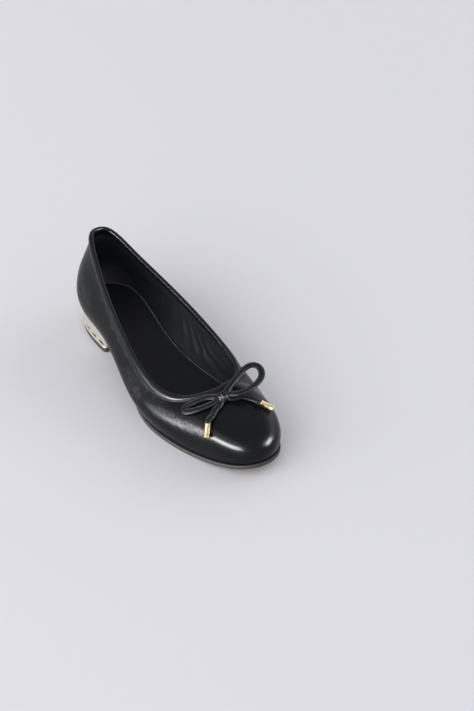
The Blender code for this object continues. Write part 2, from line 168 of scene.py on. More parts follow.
# %% Finish
class Finish(Bench):
    """One material: its bench, its shader and the patterns that it is made of."""

    def __init__(self, name, **constants):
        self.material = bpy.data.materials.new(name)
        self.material.use_nodes = True
        super().__init__(self.material.node_tree)
        self.shader = self.tree.nodes["Principled BSDF"]
        for socket, value in constants.items():
            self.shader.inputs[socket.replace("_", " ")].default_value = value
        self.place = self.node("ShaderNodeTexCoord", output="Object")

    def noise(self, size, detail=2.0, rough=0.5, twist=0.0, place=None):
        values = {"Vector": place or self.place, "Scale": 1.0 / size, "Detail": detail,
                  "Roughness": rough, "Distortion": twist}
        return self.node("ShaderNodeTexNoise", {}, values, output="Fac")

    def cells(self, size):
        values = {"Vector": self.place, "Scale": 1.0 / size}
        return self.node("ShaderNodeTexVoronoi", {"feature": "SMOOTH_F1"}, values, output="Distance")

    def stretched(self, along, across, up):
        """Object coordinates squeezed per axis, for a grain that runs one way."""
        values = {"Vector": self.place, "Scale": (along, across, up)}
        return self.node("ShaderNodeMapping", {}, values)

    def painted(self, name):
        """A value that the mesh carries for each of its points."""
        return self.node("ShaderNodeAttribute", {"attribute_name": name}, output="Fac")

    def height(self, relief, depth):
        self.feed("Normal", self.node("ShaderNodeBump", {}, {"Height": relief, "Distance": depth}))

    def feed(self, socket, wire):
        self.tree.links.new(wire.socket, self.shader.inputs[socket])


# %% [markdown]
# ## The leathers
# The upper is smooth calf: near black, a soft shine, pores too fine to count, and shallow wrinkles
# where the skin is under strain, at the throat and over the side of the toe. Only the pores and
# hair-fine wrinkles are bump; the folds that one sees are in the mesh, further down. The mesh also
# carries `strain`, painted by listed patches, and the finish puts its wrinkles there.

# %% Leather finishes
LEATHER_DARK = colour(0.0042, 0.0048, 0.0058)
LEATHER_PALE = colour(0.0070, 0.0078, 0.0093)


def make_calf(name, roughness, pore, pore_depth, strain_depth, polish):
    finish = Finish(name, Coat_Roughness=0.22, Coat_IOR=1.40, IOR=1.20)
    mottle = finish.noise(26.0 * MM, 3.0)
    pores = finish.cells(pore)
    nap = finish.noise(pore * 1.7, 4.0, 0.6)
    folds = finish.noise(2.6 * MM, 3.0, 0.55, 1.4)
    ridge = 1.0 - (folds * 2.0 - 1.0).math("ABSOLUTE")
    strain = finish.painted("strain")
    wrinkle = (ridge ** 5.0) * strain
    finish.feed("Base Color", finish.blend(mottle, LEATHER_DARK, LEATHER_PALE))
    finish.feed("Roughness", (mottle * 0.08 + nap * 0.08 + wrinkle * 0.10 + (roughness - 0.07)).clamped())
    finish.feed("Coat Weight", (polish - wrinkle * 0.06).clamped())
    finish.height(pores * pore_depth + nap * pore_depth + wrinkle * strain_depth, 0.1 * MM)
    return finish.material


calf = make_calf("black calf", 0.23, 0.42 * MM, 0.26, 1.1, 0.10)
collar_calf = make_calf("collar calf", 0.27, 0.36 * MM, 0.24, 0.9, 0.20)
lace_calf = make_calf("lace calf", 0.30, 0.40 * MM, 0.34, 0.5, 0.22)
print("leathers", [material.name for material in (calf, collar_calf, lace_calf)])

# %% [markdown]
# The lining and the sock are a flatter, drier skin, and the lining keeps a little polish. The sewing
# thread is twisted polyester with painted shade and painted highlight in bands along its twist. It is
# paler than the leather, and the sock's is paler still: partly its own grey, partly a painted glint.

# %% Lining, sock and thread
def make_dry_skin(name, dark, pale, roughness, grain_size, grain_depth, ior):
    finish = Finish(name, IOR=ior)
    mottle = finish.noise(18.0 * MM, 3.0)
    grain = finish.noise(grain_size, 4.0, 0.62)
    pits = finish.cells(grain_size * 1.3)
    finish.feed("Base Color", finish.blend(mottle, dark, pale))
    finish.feed("Roughness", (mottle * 0.10 + grain * 0.08 + (roughness - 0.09)).clamped())
    finish.height(grain * grain_depth + pits * grain_depth * 0.6, 0.1 * MM)
    return finish.material


lining_skin = make_dry_skin("lining skin", colour(0.0110, 0.0120, 0.0135), colour(0.0190, 0.0205, 0.0225),
                            0.38, 0.45 * MM, 0.5, 1.38)
sock_skin = make_dry_skin("sock skin", colour(0.0115, 0.0120, 0.0140), colour(0.0165, 0.0175, 0.0205),
                          0.58, 0.40 * MM, 0.6, 1.25)


# The wave paints the twist in bands: painted shade in its grooves and a painted highlight on its ridges.
def make_thread(name, shade, lit, roughness):
    finish = Finish(name, Roughness=roughness, IOR=1.5)
    twist = finish.node("ShaderNodeTexWave", {"bands_direction": "DIAGONAL"},
                        {"Vector": finish.place, "Scale": 1.0 / (1.6 * MM), "Distortion": 0.5}, output="Fac")
    finish.feed("Base Color", finish.blend(twist, shade, lit))
    finish.height(twist, 0.04 * MM)
    return finish.material


# Both threads are paler than black so that their rows of stitches glint: the pale colour is partly a painted
# highlight, most of all on the sock's thread.
thread = make_thread("black thread", colour(0.018, 0.020, 0.023), colour(0.080, 0.085, 0.092), 0.36)
sock_glint_thread = make_thread("sock thread, painted glint", colour(0.160, 0.165, 0.175), colour(0.420, 0.430, 0.450), 0.30)
print("dry skins and thread", lining_skin.name, sock_skin.name, thread.name)

# %% [markdown]
# ## The hard finishes
# The heel band and the tags are pale gold plate: a full metal, polished, with hairlines too fine to
# see except in how they stretch a highlight. The sole's edge is painted black, its underside is a
# tan grained sheet, and the top lift is a hard black rubber.

# %% Metal, rubber and sole finishes
def make_gold(name, base, tint, roughness):
    finish = Finish(name, Metallic=1.0)
    cloud = finish.noise(5.0 * MM, 3.0)
    hairs = finish.noise(0.5 * MM, 3.0, place=finish.stretched(0.25, 0.25, 3.0))
    finish.feed("Base Color", finish.blend(cloud, base, tint))
    finish.feed("Roughness", (hairs * 0.12 + (roughness - 0.06)).clamped())
    finish.height(hairs * 0.25 + cloud * 0.6, 0.03 * MM)
    return finish.material


def make_rubber(name, dark, pale, roughness, grain_size, grain_depth):
    finish = Finish(name, IOR=1.35)
    grain = finish.noise(grain_size, 4.0, 0.6)
    scuff = finish.noise(9.0 * MM, 5.0, 0.7, 0.6)
    finish.feed("Base Color", finish.blend(scuff, dark, pale))
    finish.feed("Roughness", (grain * 0.12 + scuff * 0.12 + (roughness - 0.12)).clamped())
    finish.height(grain * grain_depth + scuff * 0.3, 0.1 * MM)
    return finish.material


heel_gold = make_gold("heel gold", colour(0.91, 0.87, 0.71), colour(0.97, 0.94, 0.81), 0.14)
tag_gold = make_gold("tag gold", colour(0.83, 0.66, 0.33), colour(0.88, 0.72, 0.42), 0.19)
edge_paint = make_rubber("edge paint", colour(0.004, 0.004, 0.005), colour(0.007, 0.007, 0.008), 0.70,
                         0.8 * MM, 0.3)
underside = make_rubber("tan underside", colour(0.30, 0.19, 0.105), colour(0.38, 0.25, 0.15), 0.62,
                        0.9 * MM, 1.2)
lift_rubber = make_rubber("lift rubber", colour(0.003, 0.003, 0.003), colour(0.006, 0.006, 0.005), 0.68,
                          0.7 * MM, 0.6)
block = make_rubber("heel block", colour(0.008, 0.008, 0.008), colour(0.014, 0.014, 0.014), 0.60,
                    0.9 * MM, 0.5)
print("hard finishes", heel_gold.name, tag_gold.name, edge_paint.name, underside.name, lift_rubber.name)

# %% [markdown]
# ## The last
# A shoe is built over a last. Here the last is twenty ribs, each a curve from the sole's edge up to
# the collar's rim, and one smooth closed cubic runs through each column of the table. The solids of
# the frame come from the same ribs, cut coarsely; the dressed pieces cut them finely.

# %% The last's sizes and ribs
SHOE_LENGTH = 0.2415
BALL_WIDTH = 0.077
BACK_HEIGHT = 0.0555
HEEL_STAND = 0.0160
TOE_SPRING = 0.0088
OUTSOLE_THICK = 0.0032
OUTSOLE_EDGE = 0.0014
INSOLE_THICK = 0.0020
UPPER_WALL = 0.0016
HEEL_LENGTH = 0.0574
HEEL_INSET = 0.0006
COVER_WALL = 0.0015
GAP = 0.0003

SEAT_END_SHARE = 0.181
BALL_START_SHARE = 0.616
BALL_END_SHARE = 0.773
SPRING_END_SHARE = 1.013
EDGE_START_SHARE = 0.30
EDGE_FULL_SHARE = 0.62

# Along: shares of SHOE_LENGTH. Across, swell: shares of BALL_WIDTH. Rise, rim height, lead down:
# shares of BACK_HEIGHT. Lead out: share of SHOE_LENGTH.
RIB_SHARES = [
    # foot along, foot across, swell, rise, rim along, rim across, rim height, lead out, lead down
    ("heel back", 0.019, 0.000, 0.205, 0.319, 0.018, 0.010, 1.000, 0.008, 0.372),
    ("heel corner, outer", 0.0455, -0.172, 0.228, 0.292, 0.050, -0.110, 0.995, 0.012, 0.335),
    ("heel side, outer", 0.092, -0.306, 0.138, 0.264, 0.140, -0.210, 0.825, 0.012, 0.303),
    ("heel front, outer", 0.194, -0.362, 0.110, 0.229, 0.256, -0.305, 0.655, 0.014, 0.239),
    ("waist, outer", 0.334, -0.365, 0.180, 0.213, 0.382, -0.385, 0.591, 0.014, 0.175),
    ("shank, outer", 0.480, -0.460, 0.192, 0.229, 0.506, -0.445, 0.568, 0.012, 0.175),
    ("joint, outer", 0.614, -0.542, 0.132, 0.287, 0.616, -0.435, 0.537, 0.024, 0.128),
    ("ball, outer", 0.740, -0.500, 0.082, 0.356, 0.698, -0.335, 0.547, 0.046, 0.090),
    ("toe corner, outer", 0.864, -0.368, 0.062, 0.399, 0.738, -0.180, 0.611, 0.092, 0.090),
    ("toe, outer", 0.968, -0.190, 0.070, 0.409, 0.758, -0.055, 0.664, 0.134, 0.117),
    ("toe tip", 1.004, 0.055, 0.075, 0.404, 0.764, 0.055, 0.702, 0.156, 0.144),
    ("toe, inner", 0.968, 0.270, 0.080, 0.393, 0.754, 0.135, 0.691, 0.128, 0.144),
    ("toe corner, inner", 0.888, 0.395, 0.070, 0.361, 0.738, 0.210, 0.633, 0.082, 0.133),
    ("ball, inner", 0.764, 0.460, 0.075, 0.330, 0.702, 0.335, 0.633, 0.036, 0.128),
    ("joint, inner", 0.632, 0.410, 0.100, 0.298, 0.610, 0.390, 0.691, 0.016, 0.154),
    ("arch, inner", 0.492, 0.295, 0.155, 0.292, 0.494, 0.390, 0.704, 0.008, 0.197),
    ("waist, inner", 0.342, 0.240, 0.170, 0.260, 0.368, 0.370, 0.662, 0.010, 0.186),
    ("heel front, inner", 0.194, 0.285, 0.125, 0.247, 0.232, 0.325, 0.652, 0.010, 0.250),
    ("heel side, inner", 0.094, 0.280, 0.130, 0.268, 0.114, 0.260, 0.772, 0.010, 0.314),
    ("heel corner, inner", 0.044, 0.166, 0.190, 0.292, 0.032, 0.160, 0.942, 0.008, 0.340),
]
RIB_SCALES = np.array([SHOE_LENGTH, BALL_WIDTH, BALL_WIDTH, BACK_HEIGHT,
                       SHOE_LENGTH, BALL_WIDTH, BACK_HEIGHT, SHOE_LENGTH, BACK_HEIGHT])
FOOT_ALONG, FOOT_ACROSS, SWELL, RISE, RIM_ALONG, RIM_ACROSS, RIM_HEIGHT, LEAD_OUT, LEAD_DOWN = range(9)
RIBS = len(RIB_SHARES)
TOE_TIP = [row[0] for row in RIB_SHARES].index("toe tip")
BACK_X = -HEEL_LENGTH / 2 - RIB_SHARES[0][1 + FOOT_ALONG] * SHOE_LENGTH
print(RIBS, "ribs, the toe tip is rib", TOE_TIP)

# %% Sole line and ribs
def smooth_step(share):
    share = np.clip(share, 0.0, 1.0)
    return share * share * (3.0 - 2.0 * share)


def unit(vectors):
    return vectors / np.linalg.norm(vectors, axis=-1, keepdims=True)


def sole_under(x):
    """Height of the outsole's underside over the floor."""
    share = (np.asarray(x, float) - BACK_X) / SHOE_LENGTH
    seat = HEEL_STAND * smooth_step((BALL_START_SHARE - share) / (BALL_START_SHARE - SEAT_END_SHARE))
    spring = np.clip((share - BALL_END_SHARE) / (SPRING_END_SHARE - BALL_END_SHARE), 0.0, 1.2)
    return seat + TOE_SPRING * spring**2


def sole_top(x):
    return sole_under(x) + OUTSOLE_THICK


def ribs_at(turns):
    """Rib values at shares of the way round, on one smooth closed cubic through the table's rows."""
    table = np.array([row[1:] for row in RIB_SHARES]) * RIB_SCALES
    count = len(table)
    system = 4.0 * np.eye(count) + np.roll(np.eye(count), 1, 0) + np.roll(np.eye(count), -1, 0)
    bend = np.linalg.solve(system, 6.0 * (np.roll(table, 1, 0) - 2.0 * table + np.roll(table, -1, 0)))
    place = np.asarray(turns) * count
    row = np.floor(place).astype(int) % count
    after = (row + 1) % count
    ahead = (place - np.floor(place))[:, None]
    behind = 1.0 - ahead
    straight = behind * table[row] + ahead * table[after]
    curve = (behind**3 - behind) * bend[row] + (ahead**3 - ahead) * bend[after]
    return straight + curve / 6.0


def plan_normals(points):
    """Outward plan normals of a closed loop that runs counter-clockwise seen from above."""
    along = np.roll(points, -1, 0) - np.roll(points, 1, 0)
    return unit(np.column_stack([along[:, 1], -along[:, 0]]))


def foot_outline(offset, count):
    """Plan outline of the feather line, moved outward by offset."""
    values = ribs_at(np.arange(count) / count)
    foot = np.column_stack([BACK_X + values[:, FOOT_ALONG], values[:, FOOT_ACROSS]])
    return foot + offset * plan_normals(foot)


def outsole_outline(count):
    """Plan outline of the outsole: within the heel's cover at the back, past the feather line ahead."""
    within_cover = HEEL_INSET + COVER_WALL + GAP
    narrow = foot_outline(-within_cover, count)
    full = foot_outline(OUTSOLE_EDGE, count)
    share = (narrow[:, 0] - BACK_X) / SHOE_LENGTH
    widening = smooth_step((share - EDGE_START_SHARE) / (EDGE_FULL_SHARE - EDGE_START_SHARE))
    return narrow + (full - narrow) * widening[:, None]


# %% Skin of the last
def rib_handles(count):
    """The four control points of each rib: sole, side, brow and rim."""
    values = ribs_at(np.arange(count) / count)
    foot_x = BACK_X + values[:, FOOT_ALONG]
    rim_x = BACK_X + values[:, RIM_ALONG]
    foot = np.column_stack([foot_x, values[:, FOOT_ACROSS], sole_top(foot_x) + GAP])
    rim = np.column_stack([rim_x, values[:, RIM_ACROSS], sole_top(rim_x) + values[:, RIM_HEIGHT]])
    out = np.column_stack([plan_normals(foot), np.zeros(count)])
    up = np.array([0.0, 0.0, 1.0])
    side = foot + out * values[:, [SWELL]] + up * values[:, [RISE]]
    brow = rim + out * values[:, [LEAD_OUT]] - up * values[:, [LEAD_DOWN]]
    return foot, side, brow, rim


def upper_skin(count, climbs):
    """Points of the upper's outer skin: one row of climbs, from 0 at the sole to 1 at the rim, a rib."""
    foot, side, brow, rim = rib_handles(count)
    climb = climbs[..., None]
    left = 1.0 - climb
    return (left**3 * foot[:, None] + 3.0 * left**2 * climb * side[:, None]
            + 3.0 * left * climb**2 * brow[:, None] + climb**3 * rim[:, None])


def skin_normals(grid):
    around = np.roll(grid, -1, 0) - np.roll(grid, 1, 0)
    return unit(np.cross(around, np.gradient(grid, axis=1)))


CHART_ROUND = RIBS * 20
CHART_CLIMBS = 61
chart = upper_skin(CHART_ROUND, np.tile(np.linspace(0.0, 1.0, CHART_CLIMBS), (CHART_ROUND, 1)))


def on_skin(rib, climb):
    """The skin's point at a rib number, which may be a fraction, and a climb."""
    row = np.atleast_1d(rib) / RIBS * len(chart)
    step = np.atleast_1d(climb) * (chart.shape[1] - 1)
    low = np.clip(np.floor(step).astype(int), 0, chart.shape[1] - 2)
    base = np.floor(row).astype(int)
    across = (row - base)[:, None]
    up = (step - low)[:, None]
    here, there = base % len(chart), (base + 1) % len(chart)
    near = chart[here, low] * (1 - up) + chart[here, low + 1] * up
    far = chart[there, low] * (1 - up) + chart[there, low + 1] * up
    return near * (1 - across) + far * across


print("the toe's height over the floor", round(float(chart[RIBS * 10, -1, 2] / MM), 1), "mm")

# %% [markdown]
# ## Making pieces
# A piece is a mesh whose points already are where they belong, in an object that stays at the
# origin. Most of this shoe's pieces are grids: so many points round the shoe, so many across.

# %% Mesh helpers
def grid_faces(count, rows, loop_count=True, loop_rows=True):
    """Quads of a grid, closed round its first and its second axis unless told otherwise."""
    turn = np.arange(count if loop_count else count - 1)[:, None]
    row = np.arange(rows if loop_rows else rows - 1)[None, :]
    here = turn * rows
    ahead = (turn + 1) % count * rows
    above = (row + 1) % rows
    quads = np.stack([here + row, ahead + row, ahead + above, here + above], axis=2)
    return quads.reshape(-1, 4).tolist()


def make_piece(name, points, faces, *materials, smooth=True):
    mesh = bpy.data.meshes.new(name)
    mesh.from_pydata(np.asarray(points, float).reshape(-1, 3).tolist(), [], faces)
    for material in materials:
        mesh.materials.append(material)
    if smooth:
        mesh.shade_smooth()
    return stand(name, mesh)


def make_section(name, parts, *materials):
    """A closed section carried round the shoe: grids of the same count round, joined side by side."""
    grid = np.concatenate(parts, axis=1)
    return make_piece(name, grid, grid_faces(*grid.shape[:2]), *materials)


def pour(shape, mesh):
    """Makes a mesh of a bmesh, with its faces outward."""
    bmesh.ops.recalc_face_normals(shape, faces=shape.faces[:])
    shape.to_mesh(mesh)
    shape.free()
    return mesh


def face_outward(piece):
    shape = bmesh.new()
    shape.from_mesh(piece.data)
    pour(shape, piece.data)
    return piece


def make_tubes(name, tubes, *materials):
    """One piece of several tubes, each an array of rings that closes on itself or has a face at each end."""
    points = []
    faces = []
    for rings, loop in tubes:
        start = len(points)
        count, sides = rings.shape[:2]
        quads = grid_faces(count, sides, loop_count=loop)
        if not loop:
            quads += [list(range(sides)), list(range((count - 1) * sides, count * sides))]
        points += rings.reshape(-1, 3).tolist()
        faces += [[start + k for k in face] for face in quads]
    return face_outward(make_piece(name, points, faces, *materials))


def paint(piece, name, values):
    """One number for each point of the mesh, which its finish can read."""
    layer = piece.data.attributes.new(name, "FLOAT", "POINT")
    layer.data.foreach_set("value", np.asarray(values, np.float32).ravel())


def settle(piece):
    """Applies what modifiers a piece has and leaves a plain mesh of the same name."""
    graph = bpy.context.evaluated_depsgraph_get()
    plain = bpy.data.meshes.new_from_object(piece.evaluated_get(graph))
    piece.modifiers.clear()
    piece.data = plain
    return piece


def dress(piece, slot, *nodes):
    """Hangs a finished piece from the body and hides the nodes it stands for. The slot is not used."""
    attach(piece, "root")
    if nodes:
        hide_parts(*nodes)
    piece.data.calc_loop_triangles()
    print(piece.name, len(piece.data.loop_triangles), "triangles")


# %% [markdown]
# ## The bow's lace
# The lace is a strip of the same calf, folded to the middle, sewn and pressed flat: about 5 mm wide
# and under 2 mm thick. Two strands meet in the knot. The first makes the inner loop, which stands up,
# goes back through the knot and ends in the outer tag; the second makes the outer loop, which lies on
# the vamp, and ends in the inner tag. A cord could be a curve with a round bevel, but this one is flat
# and grooved, so a section is swept along the route with its broad face kept the right way up.
# Routes are laid out from the knot over the vamp's own solids, point for point as in the frame.

# %% Routes of the lace
LACE_WIDTH = 0.0034
KNOT_AHEAD = 0.0104
KNOT_ASIDE = -0.0072
KNOT_WIDTH = 0.0092
KNOT_HEIGHT = 0.0066
TAG_LENGTH = 0.0102
TAG_TOP_RADIUS = 0.0021
TAG_END_RADIUS = 0.0024
OUTER_SIDE = -1
INNER_SIDE = 1

# Ahead of the knot's centre: shares of SHOE_LENGTH. Aside, out from the side of the knot: shares of
# BALL_WIDTH. Lift: shares of LACE_WIDTH, square to the vamp, or straight up on the standing loop.
LOOP_OUT_SHARES = [
    # ahead, aside, lift
    (-0.0160, -0.012, 0.79), (-0.0340, 0.044, 0.65), (-0.0450, 0.148, 0.62), (-0.0555, 0.228, 0.62),
    (-0.0530, 0.276, 0.62), (-0.0365, 0.258, 0.62), (-0.0180, 0.188, 0.62), (-0.0070, 0.098, 0.65),
    (-0.0010, 0.006, 0.79),
]
LOOP_IN_SHARES = [
    # ahead, aside, lift
    (-0.0130, 0.010, 0.35), (-0.0220, 0.068, 0.79), (-0.0375, 0.180, 1.41), (-0.0470, 0.278, 1.94),
    (-0.0480, 0.350, 2.26), (-0.0365, 0.398, 2.29), (-0.0155, 0.408, 2.03), (0.0050, 0.372, 1.62),
    (0.0205, 0.294, 1.29), (0.0280, 0.162, 0.94), (0.0240, 0.062, 0.76), (0.0080, 0.012, 0.47),
]
TAIL_OUT_SHARES = [(0.0155, 0.006, 0.65), (0.0195, 0.062, 0.62), (0.0350, 0.128, 0.62)]
TAG_OUT_SHARES = [(0.0480, 0.192, 0.94), (0.0675, 0.236, 1.03)]
TAIL_IN_SHARES = [(0.0165, 0.006, 0.65), (0.0175, 0.062, 0.62), (0.0280, 0.130, 0.62), (0.0445, 0.184, 0.62)]
TAG_IN_SHARES = [(0.0665, 0.222, 0.88), (0.0915, 0.284, 0.97)]


def tree_of(*nodes):
    verts = []
    faces = []
    for node in nodes:
        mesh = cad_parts[node].data
        start = len(verts)
        verts += [vert.co.copy() for vert in mesh.vertices]
        faces += [[start + index for index in face.vertices] for face in mesh.polygons]
    return BVHTree.FromPolygons(verts, faces)


vamp_tree = tree_of("upper", "collar_binding")


def over_vamp(x, y, lift):
    """The point at a height above the vamp, square to its surface, and that surface's normal."""
    spot, normal = vamp_tree.ray_cast(Vector((x, y, 2.0 * BACK_HEIGHT)), Vector((0.0, 0.0, -1.0)))[:2]
    return spot + lift * normal, normal


toe_values = ribs_at([TOE_TIP / RIBS])[0]
knot, knot_facing = over_vamp(BACK_X + toe_values[RIM_ALONG] + KNOT_AHEAD,
                              toe_values[RIM_ACROSS] + KNOT_ASIDE, GAP + KNOT_HEIGHT / 2.0)
print("the knot's centre", [round(value / MM, 1) for value in knot], "mm")


def from_knot(row, side):
    ahead, aside, lift = row
    return Vector((SHOE_LENGTH * ahead, side * (KNOT_WIDTH / 2.0 + BALL_WIDTH * aside), LACE_WIDTH * lift))


def lying(rows, side):
    """Points that lie over the vamp, each with the vamp's normal under it."""
    places = [knot + from_knot(row, side) for row in rows]
    return [over_vamp(place.x, place.y, LACE_WIDTH * row[-1]) for place, row in zip(places, rows)]


# %% [markdown]
# A strand needs a direction for its broad face at each point. On the vamp it faces the way the vamp
# does. The standing loop bends in its own plane, so its broad face looks along that plane's normal.

# %% Two strands, knot to tag
LACE_BROAD = 5.0 * MM
LACE_THIN = 1.8 * MM
ROUTE_STEP = 0.4
ROUTE_EASE = 36
# The sewn channel in the lace's face, as shares of half its breadth and of its thickness.
CHANNEL_AT = 0.60
CHANNEL_HALF = 0.10
CHANNEL_DEPTH = 0.30


def standing_loop():
    points = [knot + from_knot(row, INNER_SIDE) for row in LOOP_IN_SHARES]
    cloud = np.array([tuple(point) for point in points])
    plane = Vector(np.linalg.svd(cloud - cloud.mean(0))[2][2])
    if plane.z < 0.0:
        plane.negate()
    return [(point, plane) for point in points]


def tag_ends(rows, side):
    (top, facing), (end, _) = lying(rows, side)
    return top, (end - top).normalized(), facing


def strand_points(loop, tail, tag):
    """From the knot's middle round the loop, back through the knot, along the tail and into the tag."""
    top, along, facing = tag
    inside_knot = [(knot, knot_facing)]
    turned = [(point, knot_facing.lerp(facing, step / (len(tail) + 1)))
              for step, (point, _) in enumerate(tail, 1)]
    into_tag = [(top + along * LACE_WIDTH * way, facing) for way in (-1.0, 1.0)]
    return inside_knot + loop + inside_knot + turned + into_tag


tags = {"out": tag_ends(TAG_OUT_SHARES, OUTER_SIDE), "in": tag_ends(TAG_IN_SHARES, INNER_SIDE)}
strands = {
    "inner": strand_points(standing_loop(), lying(TAIL_OUT_SHARES, OUTER_SIDE), tags["out"]),
    "outer": strand_points(lying(LOOP_OUT_SHARES, OUTER_SIDE), lying(TAIL_IN_SHARES, INNER_SIDE), tags["in"]),
}


def travel(path):
    """Distance travelled along a path at each of its points."""
    return np.concatenate([[0.0], np.cumsum(np.linalg.norm(np.diff(path, axis=0), axis=1))])


def smooth_route(rows):
    """Evenly spaced rows along one smooth curve through a route's own rows."""
    route = np.asarray(rows, float)
    padded = np.concatenate([[2.0 * route[0] - route[1]], route, [2.0 * route[-1] - route[-2]]])
    fine = []
    for before, here, there, after in zip(padded, padded[1:], padded[2:], padded[3:]):
        for share in np.arange(0.0, 1.0, 0.05):
            fine.append(0.5 * (2.0 * here + (there - before) * share
                               + (2.0 * before - 5.0 * here + 4.0 * there - after) * share**2
                               + (3.0 * here - before - 3.0 * there + after) * share**3))
    fine = np.array(fine + [route[-1]])
    travelled = travel(fine[:, :3])
    places = np.linspace(0.0, travelled[-1], round(travelled[-1] / (ROUTE_STEP * MM)))
    even = np.column_stack([np.interp(places, travelled, column) for column in fine.T])
    for _ in range(ROUTE_EASE):
        even[1:-1] = 0.25 * even[:-2] + 0.5 * even[1:-1] + 0.25 * even[2:]
    return even


# %% Sweep the folded section
def full_turn(count):
    return 2.0 * math.pi * np.arange(count) / count


def boxed(wave, power):
    """A wave with flattened tops, for a section between an oval and a box."""
    return np.sign(wave) * np.abs(wave) ** power


def lace_section(count):
    """The folded strip's section: a flat oval with a sewn channel along each edge."""
    angle = full_turn(count)
    side = boxed(np.cos(angle), 0.75)
    face = boxed(np.sin(angle), 0.65)
    channel = CHANNEL_DEPTH * np.exp(-((np.abs(side) - CHANNEL_AT) / CHANNEL_HALF) ** 2)
    return np.column_stack([side * LACE_BROAD / 2.0, face * (1.0 - channel) * LACE_THIN / 2.0])


def sweep_strand(name, rows):
    route = smooth_route([(*point, *facing) for point, facing in rows])
    middle = route[:, :3]
    along = unit(np.gradient(middle, axis=0))
    across = unit(np.cross(along, unit(route[:, 3:])))
    face = np.cross(across, along)
    section = lace_section(36)
    run = np.arange(len(middle))[:, None] * ROUTE_STEP
    pucker = 1.0 + 0.035 * np.sin(run * 2.9) * np.sin(run * 0.83 + 1.0)
    rings = (middle[:, None] + across[:, None] * (section[:, 0] * pucker)[..., None]
             + face[:, None] * (section[:, 1] * (2.0 - pucker))[..., None])
    piece = make_tubes(name, [(rings, False)], lace_calf)
    paint(piece, "strain", np.full(len(piece.data.vertices), 0.5))
    return piece, middle, across, face


swept = {side: sweep_strand("lace_" + side, rows) for side, rows in strands.items()}
lace_lengths = {side: float(np.linalg.norm(np.diff(strand[1], axis=0), axis=1).sum())
                for side, strand in swept.items()}
for side, length in lace_lengths.items():
    print("the", side, "lace is", round(length / MM, 1), "mm long from the knot to its tag")

# %% [markdown]
# ## Stitches by Geometry Nodes
# Rows of stitches run along the collar, the sock's edge, the back seam and the lace. Each row could
# be a particle system or an Array along a curve, but one small node tree does them all: it turns a
# path into a curve, spaces points along it, puts a stitch on each, turned to the path and to the
# surface's normal that the path carries, and makes it all real mesh for the export.

# %% The stitch tree
def make_stitch_tree():
    tree = bpy.data.node_groups.new("row of stitches", "GeometryNodeTree")
    face = tree.interface
    face.new_socket("Path", in_out="INPUT", socket_type="NodeSocketGeometry")
    for name in ("Pitch", "Stitch Length", "Stitch Width"):
        face.new_socket(name, in_out="INPUT", socket_type="NodeSocketFloat")
    face.new_socket("Thread", in_out="INPUT", socket_type="NodeSocketMaterial")
    face.new_socket("Stitches", in_out="OUTPUT", socket_type="NodeSocketGeometry")
    bench = Bench(tree)
    given = tree.nodes.new("NodeGroupInput")

    def asked(name):
        return Wire(bench, given.outputs[name])

    line = bench.node("GeometryNodeMeshToCurve", {}, {"Mesh": asked("Path")})
    spaced = bench.node("GeometryNodeResampleCurve", {"mode": "LENGTH"},
                        {"Curve": line, "Length": asked("Pitch")})
    facing = bench.node("GeometryNodeInputNamedAttribute", {"data_type": "FLOAT_VECTOR"}, {"Name": "facing"})
    upright = bench.node("FunctionNodeAlignRotationToVector", {"axis": "Z"}, {"Vector": facing})
    tangent = bench.node("GeometryNodeInputTangent")
    turned = bench.node("FunctionNodeAlignRotationToVector", {"axis": "X", "pivot_axis": "Z"},
                        {"Rotation": upright, "Vector": tangent})
    bead = bench.node("GeometryNodeMeshUVSphere", {}, {"Segments": 8, "Rings": 6, "Radius": 0.5})
    size = bench.node("ShaderNodeCombineXYZ", {},
                      {"X": asked("Stitch Length"), "Y": asked("Stitch Width"), "Z": asked("Stitch Width")})
    placed = bench.node("GeometryNodeInstanceOnPoints", {},
                        {"Points": spaced, "Instance": bead, "Rotation": turned, "Scale": size})
    real = bench.node("GeometryNodeRealizeInstances", {}, {"Geometry": placed})
    smooth = bench.node("GeometryNodeSetShadeSmooth", {}, {"Geometry": real})
    done = bench.node("GeometryNodeSetMaterial", {}, {"Geometry": smooth, "Material": asked("Thread")})
    tree.nodes.new("NodeGroupOutput")
    tree.links.new(done.socket, tree.nodes["Group Output"].inputs[0])
    return tree


stitch_tree = make_stitch_tree()
print("the stitch tree has", len(stitch_tree.nodes), "nodes")


# %% Sew a row
BEAD_FACES = 48


def sew(name, rows, pitch, length, width, material, loop=False):
    """Stitches along one or more paths, each an array of points and one of normals."""
    points, facings = (np.concatenate([row[k] for row in rows]) for k in (0, 1))
    edges = []
    start = 0
    for path, _ in rows:
        last = start + len(path) - 1
        edges += [(k, k + 1) for k in range(start, last)]
        if loop:
            edges.append((last, start))
        start = last + 1
    mesh = bpy.data.meshes.new(name + "_path")
    mesh.from_pydata(points.tolist(), edges, [])
    layer = mesh.attributes.new("facing", "FLOAT_VECTOR", "POINT")
    layer.data.foreach_set("vector", facings.astype(np.float32).ravel())
    piece = stand(name, mesh)
    modifier = piece.modifiers.new("stitches", "NODES")
    modifier.node_group = stitch_tree
    wanted = {"Pitch": pitch, "Stitch Length": length, "Stitch Width": width, "Thread": material}
    for item in stitch_tree.interface.items_tree:
        if item.in_out == "INPUT" and item.name in wanted:
            modifier[item.identifier] = wanted[item.name]
    settle(piece)
    print(name, "has", len(piece.data.polygons) // BEAD_FACES, "stitches")
    return piece


def lace_stitches(side):
    """Two rows in the channels of the broad face, from the knot's side to the tag."""
    middle, across, face = swept[side][1:]
    edge = across * LACE_BROAD * CHANNEL_AT / 2.0
    top = middle + face * LACE_THIN * 0.36
    rows = [(top - edge, face), (top + edge, face)]
    return sew("lace_" + side + "_stitches", rows, 1.7 * MM, 1.15 * MM, 0.34 * MM, thread)


sewn_laces = {side: lace_stitches(side) for side in swept}

